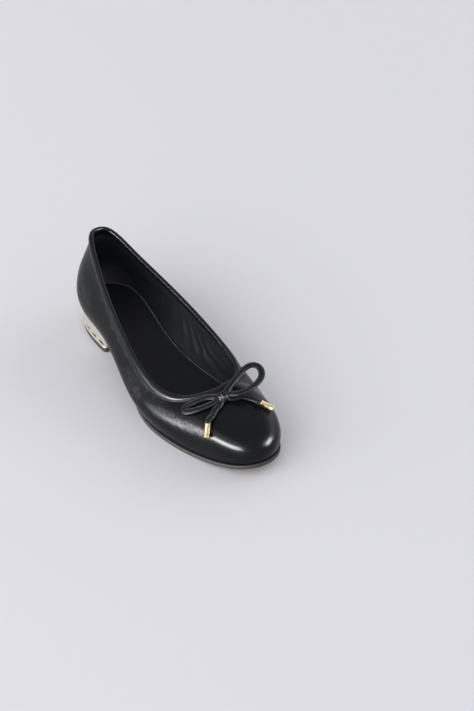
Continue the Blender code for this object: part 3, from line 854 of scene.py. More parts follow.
# %% [markdown]
# ## Tags
# Each end of the lace is crimped into a short metal tube, a little wider at its mouth, with a rolled
# rim at both ends. It is a turned part, so a profile spun round an axis makes it. Its underside is
# closed by a shallow disc, as the real one's end is.

# %% Turn the tags
# Along the tag as a share of its length, and how far the surface stands from a plain cone, in mm.
TAG_PROFILE = [
    (0.000, -0.45), (0.000, -0.02), (0.020, 0.10), (0.050, 0.12), (0.075, 0.08), (0.090, -0.08),
    (0.110, -0.14), (0.300, -0.12), (0.600, -0.12), (0.870, -0.14), (0.890, -0.08), (0.910, 0.10),
    (0.945, 0.15), (0.980, 0.12), (1.000, -0.02), (1.000, -0.50), (0.975, -0.62),
]
TAG_SIDES = 56
SHARP_ANGLE = math.radians(50.0)


def make_tag(name, top, along, facing):
    axis = np.array(along)
    across = unit(np.cross(axis, np.array(facing)))
    up = np.cross(across, axis)
    angle = full_turn(TAG_SIDES)
    spoke = np.cos(angle)[:, None] * across + np.sin(angle)[:, None] * up
    share, off = np.array(TAG_PROFILE).T
    radius = TAG_TOP_RADIUS + (TAG_END_RADIUS - TAG_TOP_RADIUS) * share + off * MM
    centres = np.array(top) + axis * (share * TAG_LENGTH)[:, None]
    rings = centres[None] + spoke[:, None] * radius[None, :, None]
    rows = len(TAG_PROFILE)
    ends = [[k * rows + row for k in range(TAG_SIDES)] for row in (0, rows - 1)]
    faces = grid_faces(TAG_SIDES, rows, loop_rows=False) + ends
    piece = face_outward(make_piece(name, rings, faces, tag_gold))
    piece.data.set_sharp_from_angle(angle=SHARP_ANGLE)
    return piece


tag_pieces = {side: make_tag("metal_tag_" + side, *tags[side]) for side in tags}
for side, piece in tag_pieces.items():
    dress(piece, "tag_gold", "tag_" + side)

# %% [markdown]
# ## The knot
# The knot is the lace wound round itself: a band over the top from front to back, a second one that
# crosses it underneath, and the strands swelling as they come out at the sides. Winding these as
# separate strips leaves slivers between them. So the strips are swept, laid over each other and
# melted into one skin with a voxel remesh fine enough to keep the valleys between the turns.

# %% Wind the knot
# Each turn's tilt about the knot's upright and lean about its length; then, in mm, how broad and
# thin the lace is there, how far the turn reaches ahead and up, and its shift to the side.
KNOT_TURNS = [
    (0.10, 0.05, 4.4, 1.9, 3.0, 2.5, 0.3), (0.65, -0.30, 3.2, 1.8, 2.9, 2.1, -1.4),
    (-0.55, 0.25, 3.0, 1.8, 2.8, 2.1, 1.6),
]
MELT_VOXEL = 0.13 * MM


def knot_axes():
    up = np.array(knot_facing)
    aside = unit(np.cross(up, np.array([1.0, 0.0, 0.0])))
    return np.cross(aside, up), aside, up


def wound_band(tilt, lean, broad, thin, reach, rise, shift):
    """Rings of one turn of lace round the knot."""
    ahead, aside, up = knot_axes()
    turned_ahead = ahead * math.cos(tilt) + aside * math.sin(tilt)
    turned_aside = aside * math.cos(tilt) - ahead * math.sin(tilt)
    turned_up = up * math.cos(lean) + turned_aside * math.sin(lean)
    turned_aside = turned_aside * math.cos(lean) - up * math.sin(lean)
    angle = full_turn(72)
    centre = np.array(knot) + turned_aside * shift * MM
    middle = (centre + turned_ahead * boxed(np.cos(angle), 0.8)[:, None] * reach * MM
              + turned_up * boxed(np.sin(angle), 0.8)[:, None] * rise * MM)
    section = lace_section(24) * (broad * MM / LACE_BROAD, thin * MM / LACE_THIN)
    return (middle[:, None] + turned_aside * section[:, :1][None]
            + unit(middle - centre)[:, None] * section[:, 1:][None])


def swelling(side):
    """Rings of the strands as they swell out of the knot on one side."""
    ahead, aside, up = knot_axes()
    angle = full_turn(24)
    rings = []
    for share in np.linspace(-0.999, 0.999, 13):
        wide = math.sqrt(1.0 - share**2)
        spot = np.array(knot) + (aside * side * (2.9 + 1.5 * share) + ahead * side * 0.3 - up * 0.35) * MM
        spread = (np.cos(angle)[:, None] * ahead * 3.1 + np.sin(angle)[:, None] * up * 2.3) * wide * MM
        rings.append(spot + spread * (1.0 + 0.10 * np.cos(angle * 3.0))[:, None])
    return np.array(rings)


def make_knot():
    tubes = [(wound_band(*turn), True) for turn in KNOT_TURNS]
    tubes += [(swelling(side), False) for side in (OUTER_SIDE, INNER_SIDE)]
    piece = make_tubes("wound_knot", tubes, lace_calf)
    melt = piece.modifiers.new("melt", "REMESH")
    melt.mode = "VOXEL"
    melt.voxel_size = MELT_VOXEL
    melt.use_smooth_shade = True
    ease = piece.modifiers.new("ease", "SMOOTH")
    ease.factor = 0.5
    ease.iterations = 3
    settle(piece)
    paint(piece, "strain", np.full(len(piece.data.vertices), 0.8))
    return piece


dress(make_knot(), "lace_leather", "bow_knot")

LOOP_NODES = {"inner": ("bow_loop_in", "bow_tail_out"), "outer": ("bow_loop_out", "bow_tail_in")}
for side, (piece, middle, across, face) in swept.items():
    dress(piece, "lace_leather", *LOOP_NODES[side])
    dress(sewn_laces[side], "lace_leather")

# %% [markdown]
# ## Folds placed one by one
# Leather folds where it is pulled: puckers under the collar near the heel, gathers round the throat
# where an elastic draws the collar in, and small wrinkles over the outer side of the toe. A cloth
# simulation would make folds of its own choosing. These are the shoe's own, so each is one row of a
# table: where it starts and ends on the last, how wide it is and how deep. A fold is a soft trough
# with a low bank on either side.

# %% Fold tables
# Rib numbers run round the last as in its table; climbs go from 0 at the sole to 1 at the rim.
OUTER_FOLDS = [
    # from rib, climb, to rib, climb, half width and depth in mm
    (3.10, 0.90, 3.30, 0.76, 0.9, 0.16), (3.30, 0.92, 3.44, 0.80, 0.7, 0.13),
    (3.46, 0.91, 3.74, 0.72, 1.0, 0.24), (3.66, 0.92, 3.80, 0.82, 0.7, 0.20),
    (3.90, 0.92, 4.16, 0.76, 1.1, 0.28), (4.10, 0.92, 4.20, 0.84, 0.8, 0.18),
    (4.36, 0.91, 4.56, 0.80, 1.0, 0.16), (2.70, 0.92, 2.90, 0.78, 1.1, 0.12),
    (5.50, 0.92, 5.62, 0.78, 0.6, 0.20), (5.72, 0.92, 5.90, 0.74, 0.7, 0.24),
    (5.92, 0.92, 6.02, 0.78, 0.6, 0.22), (6.08, 0.92, 6.26, 0.68, 0.7, 0.26),
    (6.30, 0.92, 6.40, 0.76, 0.6, 0.22), (6.48, 0.93, 6.62, 0.72, 0.7, 0.22),
    (6.70, 0.93, 6.80, 0.80, 0.6, 0.18), (6.95, 0.94, 7.10, 0.80, 0.6, 0.16),
    (6.60, 0.62, 6.90, 0.44, 1.3, 0.07), (6.82, 0.64, 7.12, 0.42, 1.1, 0.09),
    (7.02, 0.62, 7.26, 0.40, 1.2, 0.10), (7.20, 0.60, 7.46, 0.38, 1.0, 0.09),
    (7.40, 0.58, 7.58, 0.36, 1.1, 0.07), (7.56, 0.56, 7.80, 0.38, 1.0, 0.05),
    (7.80, 0.54, 7.96, 0.36, 1.1, 0.04), (6.30, 0.50, 7.40, 0.58, 1.6, 0.06),
    (8.10, 0.50, 8.30, 0.34, 1.2, 0.03), (7.00, 0.48, 8.10, 0.50, 1.4, 0.05),
    (4.60, 0.34, 5.90, 0.42, 3.2, 0.22), (1.60, 0.46, 2.70, 0.40, 3.6, 0.20),
    (15.9, 0.88, 16.1, 0.66, 1.7, 0.20), (16.2, 0.86, 16.4, 0.70, 1.4, 0.16),
    (16.5, 0.88, 16.7, 0.68, 1.9, 0.18), (13.2, 0.93, 13.0, 0.74, 1.0, 0.32),
    (13.6, 0.93, 13.5, 0.72, 1.0, 0.36), (14.0, 0.93, 13.9, 0.70, 1.1, 0.34),
    (14.4, 0.92, 14.4, 0.72, 1.0, 0.28), (12.7, 0.94, 12.5, 0.80, 1.0, 0.26),
    (13.4, 0.50, 14.6, 0.44, 3.0, 0.22), (17.3, 0.44, 18.3, 0.48, 3.4, 0.18),
]
LINING_FOLDS = [
    # from rib, climb, to rib, climb, half width and depth in mm
    (16.3, 0.62, 15.9, 0.30, 3.2, 0.30), (16.1, 0.66, 15.7, 0.42, 2.0, 0.22),
    (15.9, 0.48, 15.4, 0.20, 2.4, 0.28), (15.6, 0.52, 15.3, 0.34, 1.5, 0.26),
    (15.5, 0.40, 15.0, 0.16, 2.2, 0.30), (15.2, 0.46, 14.8, 0.22, 1.6, 0.24),
    (15.1, 0.30, 14.3, 0.16, 2.6, 0.34), (14.9, 0.44, 14.3, 0.30, 2.2, 0.26),
    (16.9, 0.50, 16.4, 0.28, 2.0, 0.35), (4.20, 0.60, 4.70, 0.30, 1.8, 0.40),
    (5.00, 0.55, 5.40, 0.28, 1.8, 0.40), (14.6, 0.12, 13.6, 0.20, 2.4, 0.40),
    (3.20, 0.50, 3.70, 0.30, 2.0, 0.30), (17.8, 0.60, 17.2, 0.34, 2.4, 0.30),
]


def folded(grid, folds):
    """How far each point of a grid moves out or in for a table of folds, and how strained it is there."""
    points = grid.reshape(-1, 3)
    moved = np.zeros(len(points))
    strain = np.zeros(len(points))
    for rib, climb, to_rib, to_climb, half_width, depth in folds:
        half_width, depth = half_width * MM, depth * MM
        share = np.linspace(0.0, 1.0, 15)
        bow = 0.10 * (to_rib - rib) * np.sin(share * math.pi)
        path = on_skin(rib + (to_rib - rib) * share + bow, climb + (to_climb - climb) * share)
        reach = 5.0 * half_width
        close = np.all((points > path.min(0) - reach) & (points < path.max(0) + reach), axis=1)
        near = points[close]
        gaps = np.linalg.norm(near[:, None] - path[None], axis=2)
        nearest = gaps.argmin(axis=1)
        gap = gaps.min(axis=1) / half_width
        fade = np.sin(math.pi * np.clip(share[nearest], 0.04, 0.96)) ** 0.7
        moved[close] += depth * fade * (0.45 * np.exp(-((gap - 1.9) / 0.9) ** 2) - np.exp(-gap**2))
        strain[close] = np.maximum(strain[close], fade * np.exp(-((gap / 3.5) ** 2)))
    return moved.reshape(grid.shape[:2]), strain.reshape(grid.shape[:2])


print(len(OUTER_FOLDS), "folds on the upper,", len(LINING_FOLDS), "in the lining")

# %% [markdown]
# Gathers are many small ripples square to the rim, finer than a table should hold. They follow a
# rule: a wave along the rim whose pitch drifts, strongest at the rim and fading down the vamp, and
# switched on only where the elastic pulls. Patches along the rim say where and how strongly.

# %% Gathers
# Rib number of a patch's middle, its half length in ribs, and its strength.
GATHER_PATCHES = [
    (6.2, 0.9, 1.0), (7.6, 0.9, 0.55), (3.8, 0.7, 0.7), (13.6, 1.0, 0.9), (12.3, 0.7, 0.5),
    (16.3, 0.6, 0.6), (9.0, 0.8, 0.25), (11.0, 0.8, 0.25), (2.2, 0.8, 0.15), (18.0, 0.9, 0.15),
]
GATHER_PITCH = 1.9 * MM


def loop_run(loop):
    """Distance travelled round a closed loop at each of its points."""
    return np.cumsum(np.linalg.norm(loop - np.roll(loop, 1, 0), axis=1))


def wobble(run, size):
    """A smooth drift between -1 and 1, the same on each run of the script."""
    turn = 2.0 * math.pi * run / size
    return (np.sin(turn) + 0.6 * np.sin(1.73 * turn + 1.1) + 0.4 * np.sin(2.91 * turn + 2.3)) / 2.0


def gather_strength(count):
    rib = np.arange(count) / count * RIBS
    strength = np.zeros(count)
    for middle, half, peak in GATHER_PATCHES:
        away = np.abs((rib - middle + RIBS / 2) % RIBS - RIBS / 2) / half
        strength = np.maximum(strength, peak * np.exp(-(away**4)))
    return strength


def gathers(grid):
    """The ripple's wave along the rim and how strong it is there."""
    run = loop_run(grid[:, -1])
    phase = 2.0 * math.pi * (run / GATHER_PITCH + 0.35 * wobble(run, 17.0 * MM))
    lively = 1.0 + 0.5 * wobble(run, 9.0 * MM)
    return 1.6 * np.abs(np.cos(phase / 2.0)) - 1.0, gather_strength(len(grid)) * lively, run


def below_rim(grid):
    """How far down the skin from the rim each point lies."""
    steps = np.linalg.norm(np.diff(grid, axis=1), axis=2)
    climbed = np.concatenate([np.zeros((len(grid), 1)), np.cumsum(steps, axis=1)], axis=1)
    return climbed[:, -1:] - climbed


# %% [markdown]
# ## The upper
# The upper is one wall of leather, lasted over the form: one grid of points from the sole's edge to
# the rim, moved along its normals by the folds and gathers, and a coarser grid inside it for the
# flesh side. A seam closes it at the back of the heel.

# %% Upper
UPPER_AROUND = 1440
UPPER_ROWS = 60
LEATHER_THICK = 0.9 * MM
SEAM_HALF = 0.5 * MM
SEAM_DEPTH = 0.30 * MM
SEAM_BANK = 0.12 * MM
GATHER_DEPTH = 0.17 * MM


def make_upper():
    climbs = np.tile(1.0 - (1.0 - np.linspace(0.0, 1.0, UPPER_ROWS)) ** 1.15, (UPPER_AROUND, 1))
    skin = upper_skin(UPPER_AROUND, climbs)
    normal = skin_normals(skin)
    moved, strain = folded(skin, OUTER_FOLDS)
    wave, strength, run = gathers(skin)
    down = below_rim(skin)
    reach = (2.6 + 1.5 * wobble(run, 4.3 * MM)) * MM
    fade = np.exp(-np.maximum(down - 4.5 * MM, 0.0) / reach[:, None])
    moved += (GATHER_DEPTH * wave * strength)[:, None] * fade
    strain = np.maximum(strain, (strength * 0.8)[:, None] * np.exp(-down / (9.0 * MM)))
    seam = np.minimum(run, run[-1] - run)[:, None]
    moved -= SEAM_DEPTH * np.exp(-((seam / SEAM_HALF) ** 2))
    moved += SEAM_BANK * np.exp(-(((seam - 1.6 * MM) / (1.2 * MM)) ** 2))
    held = smooth_step(climbs / 0.06)
    outer = skin + normal * (moved * held)[..., None]
    inner = (skin - LEATHER_THICK * normal)[:, :: -(UPPER_ROWS // 8)]
    piece = make_section("upper_calf", [outer, inner], calf)
    paint(piece, "strain", np.concatenate([strain, np.zeros(inner.shape[:2])], axis=1))
    return piece, outer, normal


upper_piece, upper_outer, upper_normal = make_upper()
dress(upper_piece, "upper_leather", "upper")


# %% Back seam
def back_seam():
    """Two rows of stitches, one on either side of the closing seam."""
    rows = []
    for rib in (-0.055, 0.055):
        turn = int(round(rib / RIBS * UPPER_AROUND)) % UPPER_AROUND
        keep = slice(6, int(UPPER_ROWS * 0.86))
        normal = upper_normal[turn, keep]
        rows.append((upper_outer[turn, keep] + 0.05 * MM * normal, normal))
    return sew("back_seam_stitches", rows, 2.3 * MM, 1.7 * MM, 0.36 * MM, thread)


dress(back_seam(), "upper_leather")

# %% [markdown]
# ## The lining
# A thinner skin lines the upper. On the inner quarter it has come away from the leather a little and
# lies in broad soft creases, which the light picks out. It is the same last again, one wall inside.

# %% Lining
LINING_AROUND = 820
LINING_ROWS = 44


def make_lining():
    climbs = np.tile(np.linspace(0.0, 1.0, LINING_ROWS), (LINING_AROUND, 1))
    skin = upper_skin(LINING_AROUND, climbs)
    normal = skin_normals(skin)
    moved = folded(skin, LINING_FOLDS)[0]
    held = smooth_step(climbs / 0.10) * smooth_step((1.0 - climbs) / 0.12)
    inside = skin - normal * (UPPER_WALL + moved * held)[..., None]
    hidden = (skin - normal * (LEATHER_THICK + 0.1 * MM))[:, :: LINING_ROWS // 6]
    return make_section("lining", [hidden, inside[:, ::-1]], lining_skin)


dress(make_lining(), "insole_leather", "upper")

# %% [markdown]
# ## The collar's binding
# A narrow strip of calf is folded over the rim with an elastic inside, so its top is a round roll
# and its lower edge a thin sewn flange. Its section is a short table of how far down from the rim
# each point lies and how far it stands off the skin, with an arc over the top.

# %% Binding
BINDING_AROUND = 1300
ROLL = 1.0 * MM
ROLL_FLATTENED = 0.92
# How far down from the rim, and how far off the skin, in mm.
BINDING_OUTSIDE = [
    (5.45, 0.06), (5.40, 0.46), (5.15, 0.56), (4.75, 0.52), (4.40, 0.30), (4.05, 0.28), (3.65, 0.48),
    (3.25, 0.84), (2.85, 1.08), (2.20, 1.26), (1.30, 1.30), (0.50, 1.18),
]
BINDING_INSIDE = [
    (0.60, 0.94), (1.60, 0.86), (2.80, 0.68), (4.00, 0.50), (5.00, 0.44), (5.30, 0.36), (5.40, 0.06),
]


def rim_frame(count, depth):
    """Skin points at given depths under the rim, the rim, and the way on over it."""
    brow, rim = rib_handles(count)[2:]
    lead = np.linalg.norm(rim - brow, axis=1)
    climbs = 1.0 - np.asarray(depth)[None, :] / (3.0 * lead[:, None])
    return upper_skin(count, climbs), rim, (rim - brow) / lead[:, None]


def make_binding():
    depth, off = np.array(BINDING_OUTSIDE).T * MM
    skin, rim, over = rim_frame(BINDING_AROUND, depth)
    normal = skin_normals(skin)
    wave, strength, run = gathers(np.concatenate([skin, rim[:, None]], axis=1))
    ripple = (wave * strength)[:, None]
    swell = 0.10 * MM * ripple + 0.05 * MM * wobble(run, 23.0 * MM)[:, None]
    outside = skin + normal * (off[None] + swell * np.clip(depth / (3.0 * MM), 0.4, 1.0)[None])[..., None]
    across = normal[:, -1]
    centre = rim - across * UPPER_WALL / 2.0
    angle = np.radians([8.0, 35.0, 62.0, 90.0, 118.0, 145.0, 172.0])
    radius = UPPER_WALL / 2.0 + ROLL + 0.06 * MM * ripple
    crown = (centre[:, None] + across[:, None] * (radius * np.cos(angle))[..., None]
             + over[:, None] * (radius * ROLL_FLATTENED * np.sin(angle))[..., None])
    depth, off = np.array(BINDING_INSIDE).T * MM
    inner_skin = rim_frame(BINDING_AROUND, depth[::-1])[0][:, ::-1]
    inner_normal = -skin_normals(inner_skin)
    inside = inner_skin - inner_normal * (UPPER_WALL + off[None] + 0.5 * swell[:, :1])[..., None]
    hidden = [skin[:, ::4] + 0.05 * MM * normal[:, ::4], centre[:, None] + over[:, None] * 0.2 * MM,
              inner_skin[:, ::3] - inner_normal[:, ::3] * (UPPER_WALL + 0.05 * MM)]
    piece = make_section("collar_calf", [outside, crown, inside, *[part[:, ::-1] for part in hidden[::-1]]],
                         collar_calf)
    strain = np.clip(strength, 0.0, 1.0) * 0.6 + 0.2
    paint(piece, "strain", np.repeat(strain, len(piece.data.vertices) // BINDING_AROUND))
    return piece


dress(make_binding(), "binding_leather", "collar_binding")


# %% Collar stitches
STITCH_DOWN = 4.4 * MM


def collar_stitches():
    skin = rim_frame(BINDING_AROUND, STITCH_DOWN + np.array([0.5, 0.0, -0.5]) * MM)[0]
    normal = skin_normals(skin)[:, 1]
    return sew("collar_stitches", [(skin[:, 1] + 0.42 * MM * normal, normal)], 2.1 * MM, 1.55 * MM,
               0.36 * MM, thread, loop=True)


dress(collar_stitches(), "binding_leather")

# %% [markdown]
# ## Slabs
# Sock, outsole and top lift are slabs: a plan outline, a rounded side and a flat top and bottom that
# follow the sole line. Each is a table of how far inside the outline a loop runs and how high it
# is. The two flat faces are one polygon each, so cuts across them let them bend with the sole.

# %% Slab
BEAD_IN = 0.90 * MM
BEAD_HALF = 0.6 * MM


def in_metres(rows, lift=0.0):
    """Rows of (inset, height), written in millimetres, with the heights lifted."""
    return [(inset * MM, height * MM + lift) for inset, height in rows]


def faces_of(found):
    return [part for part in found if isinstance(part, bmesh.types.BMFace)]


def make_slab(name, outline, rows, level, cut_every, *materials, dips=0.0):
    """Rows of (inset, height over level(x)), from the bottom face's edge round the side to the top's."""
    inward = -plan_normals(outline)
    shape = bmesh.new()
    loops = []
    for inset, height in rows:
        plan = outline + inward * inset
        levels = level(plan[:, 0]) + height - dips * math.exp(-(((inset - BEAD_IN) / BEAD_HALF) ** 2))
        loops.append([shape.verts.new((x, y, z)) for (x, y), z in zip(plan, levels)])
    count = len(outline)
    for low, high in zip(loops, loops[1:]):
        for k in range(count):
            shape.faces.new((low[k], low[(k + 1) % count], high[(k + 1) % count], high[k]))
    caps = [(rows[0][1], len(materials) - 1, shape.faces.new(loops[0][::-1])),
            (rows[-1][1], 0, shape.faces.new(loops[-1]))]
    stations = np.arange(outline[:, 0].min() + cut_every, outline[:, 0].max(), cut_every) if cut_every else []
    for height, material, face in caps:
        pieces = [face]
        for station in stations:
            edges = {edge for part in pieces for edge in part.edges}
            verts = {vert for part in pieces for vert in part.verts}
            cut = bmesh.ops.bisect_plane(shape, geom=pieces + list(edges) + list(verts),
                                         plane_co=(station, 0, 0), plane_no=(1, 0, 0))
            pieces = faces_of(cut["geom"])
            for vert in cut["geom_cut"]:
                if isinstance(vert, bmesh.types.BMVert):
                    vert.co.z = float(level(vert.co.x)) + height
        for part in pieces:
            part.material_index = material
    mesh = pour(shape, bpy.data.meshes.new(name))
    mesh.shade_smooth()
    for material in materials:
        mesh.materials.append(material)
    return stand(name, mesh)


# %% [markdown]
# ## Sock and outsole
# The sock covers the insole. Its edge is turned and sewn, so a small bead runs round it with a row
# of stitches on top, which is what glints along the inner side; the stitches' pale thread paints part
# of that glint. The outsole is a thin sheet with its edge painted black, a little wider than the upper,
# so its top corner draws a light line all round.

# %% Sock and outsole pieces
SOCK_AROUND = 1400
SOCK_PITCH = 2.1 * MM
SOCK_DIPS = 0.22 * MM
# The sock reaches just into the lining, so no light comes up between them.
SOCK_IN = UPPER_WALL - 0.15 * MM
SOCK_TOP = GAP + INSOLE_THICK
# How far in from the edge, and how high: over the sock's top, and over the sole's underside, in mm.
SOCK_ROWS = [
    (0.35, -2.00), (0.05, -1.70), (0.00, -0.70), (0.05, -0.10), (0.25, 0.22), (0.60, 0.38), (1.00, 0.40),
    (1.40, 0.30), (1.75, 0.04), (2.10, -0.10), (3.20, -0.02), (5.00, 0.00), (8.00, 0.00),
]
OUTSOLE_ROWS = [
    (2.40, 0.00), (0.50, 0.00), (0.22, 0.06), (0.06, 0.22), (0.00, 0.55), (0.00, 2.50), (0.05, 2.85),
    (0.20, 3.10), (0.45, 3.20), (2.40, 3.20),
]


def make_sock():
    outline = foot_outline(-SOCK_IN, SOCK_AROUND)
    dips = SOCK_DIPS * np.abs(np.cos(math.pi * loop_run(outline) / SOCK_PITCH)) ** 3
    rows = in_metres(SOCK_ROWS, SOCK_TOP)
    return make_slab("sock", outline, rows, sole_top, 2.5 * MM, sock_skin, dips=dips)


def sock_stitches():
    outline = foot_outline(-(SOCK_IN + 0.80 * MM), SOCK_AROUND)
    points = np.column_stack([outline, sole_top(outline[:, 0]) + SOCK_TOP + 0.40 * MM])
    facing = np.tile([0.0, 0.0, 1.0], (SOCK_AROUND, 1))
    # Pale thread, partly a painted highlight, makes this row glint in dots.
    return sew("sock_stitches", [(points, facing)], SOCK_PITCH, 1.05 * MM, 0.90 * MM, sock_glint_thread, loop=True)


dress(make_sock(), "insole_leather", "insole")
dress(sock_stitches(), "insole_leather")
outsole = make_slab("outsole_sheet", outsole_outline(480), in_metres(OUTSOLE_ROWS), sole_under, 3.0 * MM,
                    edge_paint, underside)
dress(outsole, "outsole_rubber", "outsole")

# %% [markdown]
# ## The heel
# A black block wears a thin metal band with a row of round-ended slots, a small bead at its lower
# edge, and a rubber top lift under it. Slots could be painted on, but from the side one looks into
# them, so they are cut with a Boolean, and a small bevel gives each an edge to catch the light.

# %% Heel outline
LIFT_INSET = 0.0010
TOP_LIFT = 0.0046
BREAST_CORNER = 0.0030
SLOT_LENGTH = 0.0060
SLOT_HEIGHT = 0.0021
SLOT_PITCH = 0.0108
SLOT_RISE = 0.0036
CORNER_CUTS = 12
HEEL_AROUND = 640
SLOT_SIDES = 28


def corner_start(inset):
    return HEEL_LENGTH / 2.0 - inset - BREAST_CORNER


def heel_outline(inset):
    """Plan outline of the heel: the foot's own outline back from the breast, whose corners are round."""
    foot = foot_outline(-inset, HEEL_AROUND)
    limit = corner_start(inset)
    turn = np.linspace(0.0, math.pi / 2.0, CORNER_CUTS)
    corner = BREAST_CORNER * np.column_stack([np.sin(turn), 1.0 - np.cos(turn)])
    sides = []
    for half, way in ((foot[:HEEL_AROUND // 2], 1.0), (foot[HEEL_AROUND // 2:][::-1], -1.0)):
        breast = np.array([limit, np.interp(limit, half[:, 0], half[:, 1])])
        sides.append(np.concatenate([half[half[:, 0] < limit], breast + corner * (1.0, way)]))
    return np.concatenate([sides[1][::-1], sides[0]])


# %% Slots
def slot_cutter(path):
    """Round-ended prisms through the band: one at the back, and as many as each side holds."""
    out = plan_normals(path)
    travelled = travel(path)
    back = travelled[np.argmin(path[:, 0])]
    inner_side = back - travelled[CORNER_CUTS - 1]
    outer_side = travelled[-CORNER_CUTS] - back
    round_end = SLOT_HEIGHT / 2.0
    angle = full_turn(SLOT_SIDES) + math.pi / SLOT_SIDES
    shift = np.copysign(SLOT_LENGTH / 2.0 - round_end, np.cos(angle)) + round_end * np.cos(angle)
    height = TOP_LIFT + GAP + SLOT_RISE + round_end * np.sin(angle)
    slots = []
    for slot in range(-int(inner_side / SLOT_PITCH), int(outer_side / SLOT_PITCH) + 1):
        place = back + slot * SLOT_PITCH
        here, facing = (np.array([np.interp(place, travelled, column) for column in rows.T])
                        for rows in (path, out))
        facing = unit(facing)
        along = np.array([-facing[1], facing[0]])
        rings = [np.column_stack([here + along * shift[:, None] + facing * reach, height])
                 for reach in (-2.0 * COVER_WALL, 2.0 * COVER_WALL)]
        slots.append((np.array(rings), False))
    print("the band has", len(slots), "slots")
    return make_tubes("slot_cutter", slots)


# %% Band, lift and block
# Height up the band from its lower edge, and how far it stands out, in mm; the head hangs from the top.
BAND_FOOT = [(-0.30, 0.00), (0.02, 0.00), (0.20, 0.12), (0.30, 0.45), (0.22, 0.80), (0.02, 1.00),
             (-0.06, 1.15), (0.00, 1.40)]
BAND_HEAD = [(0.00, 1.00), (-0.02, 0.25), (-0.20, 0.00)]
LIFT_ROWS = [(1.60, 0.00), (0.55, 0.00), (0.25, 0.08), (0.05, 0.32), (0.00, 0.70), (0.00, 4.00),
             (0.06, 4.35), (0.25, 4.55), (0.50, 4.60), (1.60, 4.60)]


def make_band():
    outline = heel_outline(HEEL_INSET)
    out = plan_normals(outline)
    beside_sole = outline[:, 0] < corner_start(HEEL_INSET)
    top = np.where(beside_sole, sole_top(outline[:, 0]), sole_under(outline[:, 0]) - GAP)
    low = np.full(len(outline), TOP_LIFT + GAP)
    rows = [(off, low + height) for off, height in in_metres(BAND_FOOT)]
    rows += [(off, top - height) for off, height in in_metres(BAND_HEAD)]
    rows += [(-COVER_WALL, top), (-COVER_WALL, low)]
    grid = np.stack([np.column_stack([outline + out * off, level]) for off, level in rows], axis=1)
    band = make_section("heel_band", [grid], heel_gold)
    cutter = slot_cutter(outline)
    cut = band.modifiers.new("slots", "BOOLEAN")
    cut.operation = "DIFFERENCE"
    cut.solver = "EXACT"
    cut.object = cutter
    soft = band.modifiers.new("soft edges", "BEVEL")
    soft.width = 0.12 * MM
    soft.segments = 2
    soft.limit_method = "ANGLE"
    soft.angle_limit = math.radians(60.0)
    settle(band)
    bpy.data.objects.remove(cutter, do_unlink=True)
    band.data.set_sharp_from_angle(angle=SHARP_ANGLE)
    return band


heel_band = make_band()
dress(heel_band, "heel_gold", "heel_cover")
lift = make_slab("top_lift_pad", heel_outline(LIFT_INSET), in_metres(LIFT_ROWS), np.zeros_like, 0,
                 lift_rubber)
dress(lift, "lift_rubber", "top_lift")
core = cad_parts["heel_core"]
core.data.materials.clear()
core.data.materials.append(block)
print("the heel's core keeps its solid, with the block's finish")

# %% [markdown]
# ## Floor and light
# The shoe stands on a pale, faintly cool sheet. The brightest thing it mirrors is a long soft window
# low on its outer side, which draws the band over the toe; a smaller one on the inner side leaves the
# short glint by the toe's corner. Overhead it is dim, so the vamp's top stays dark, and the pale floor
# lights the side walls from below.

# %% Floor
FLOOR_HALF = 6.0


def make_floor():
    corners = [(x * FLOOR_HALF, y * FLOOR_HALF, 0.0) for x, y in ((-1, -1), (1, -1), (1, 1), (-1, 1))]
    finish = Finish("pale sheet", Roughness=0.55, Specular_IOR_Level=0.25)
    cloud = finish.noise(0.5, 2.0)
    finish.feed("Base Color", finish.blend(cloud, colour(0.745, 0.745, 0.775), colour(0.765, 0.765, 0.79)))
    return make_piece("floor", corners, [(0, 1, 2, 3)], finish.material, smooth=False)


floor = make_floor()


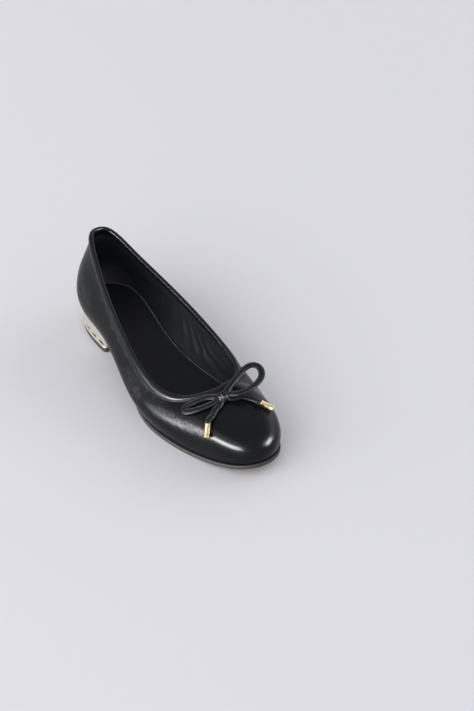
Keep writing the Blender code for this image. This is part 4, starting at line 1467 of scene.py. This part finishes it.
# %% Lights
SHOE_MIDDLE = Vector((0.09, 0.0, 0.02))
WHITE = (1.0, 1.0, 1.0)
SOFTBOXES = [
    # name, azimuth, elevation, distance, width, height, radiance, tint, only in gloss, roll
    ("window", -84.0, 34.0, 3.0, 4.2, 2.2, 2.0, WHITE, False, 0.0),
    ("window pane", -80.0, 9.0, 3.0, 3.9, 1.10, 78.0, WHITE, True, 9.0),
    ("side lamp", 46.0, 22.0, 2.6, 1.10, 0.80, 70.0, (0.90, 0.94, 1.0), True, 0.0),
    ("inner wall", 92.0, 24.0, 3.2, 3.0, 1.7, 1.6, WHITE, False, 0.0),
    ("far wall", 178.0, 24.0, 3.4, 3.0, 1.0, 1.5, WHITE, True, 0.0),
]


def make_softbox(name, azimuth, elevation, distance, width, height, radiance, tint, only_gloss, roll):
    """An area light at a bearing round the shoe, turned to face it."""
    away = bearing(math.radians(azimuth), math.radians(elevation))
    light = bpy.data.lights.new(name, "AREA")
    light.shape = "RECTANGLE"
    light.size = width
    light.size_y = height
    light.energy = radiance * math.pi * width * height
    light.color = tint
    lamp = stand(name, light)
    lamp.location = SHOE_MIDDLE + away * distance
    turn = away.to_track_quat("Z", "Y") @ Quaternion((0.0, 0.0, 1.0), math.radians(roll))
    lamp.rotation_euler = turn.to_euler()
    lamp.visible_diffuse = not only_gloss
    return lamp


def keep_to_leather(lamp):
    """Lights that draw the highlights on leather would burn out on gold and floor, which don't see them."""
    skipped = bpy.data.collections.new(lamp.name + " skips")
    lamp.light_linking.receiver_collection = skipped
    for piece in (floor, heel_band, *tag_pieces.values()):
        skipped.objects.link(piece)
    for row in skipped.collection_objects:
        row.light_linking.link_state = "EXCLUDE"


lamps = {row[0]: make_softbox(*row) for row in SOFTBOXES}
for name in ("window pane", "side lamp"):
    keep_to_leather(lamps[name])


def make_world():
    world = bpy.data.worlds.new("studio")
    world.use_nodes = True
    scene.world = world
    bench = Bench(world.node_tree)
    place = bench.node("ShaderNodeTexCoord", output="Generated")
    rise = bench.node("ShaderNodeSeparateXYZ", {}, {"Vector": place}, output="Z")
    share = bench.node("ShaderNodeMapRange", {"interpolation_type": "SMOOTHSTEP"},
                       {"Value": rise, "From Min": 0.05, "From Max": 0.60})
    sky = bench.blend(share, colour(0.80, 0.80, 0.82), colour(0.58, 0.58, 0.61))
    world.node_tree.links.new(sky.socket, world.node_tree.nodes["Background"].inputs["Color"])


make_world()
scene.view_settings.view_transform = "Standard"
scene.view_settings.look = "None"
print(len(lamps), "softboxes and a dim studio")
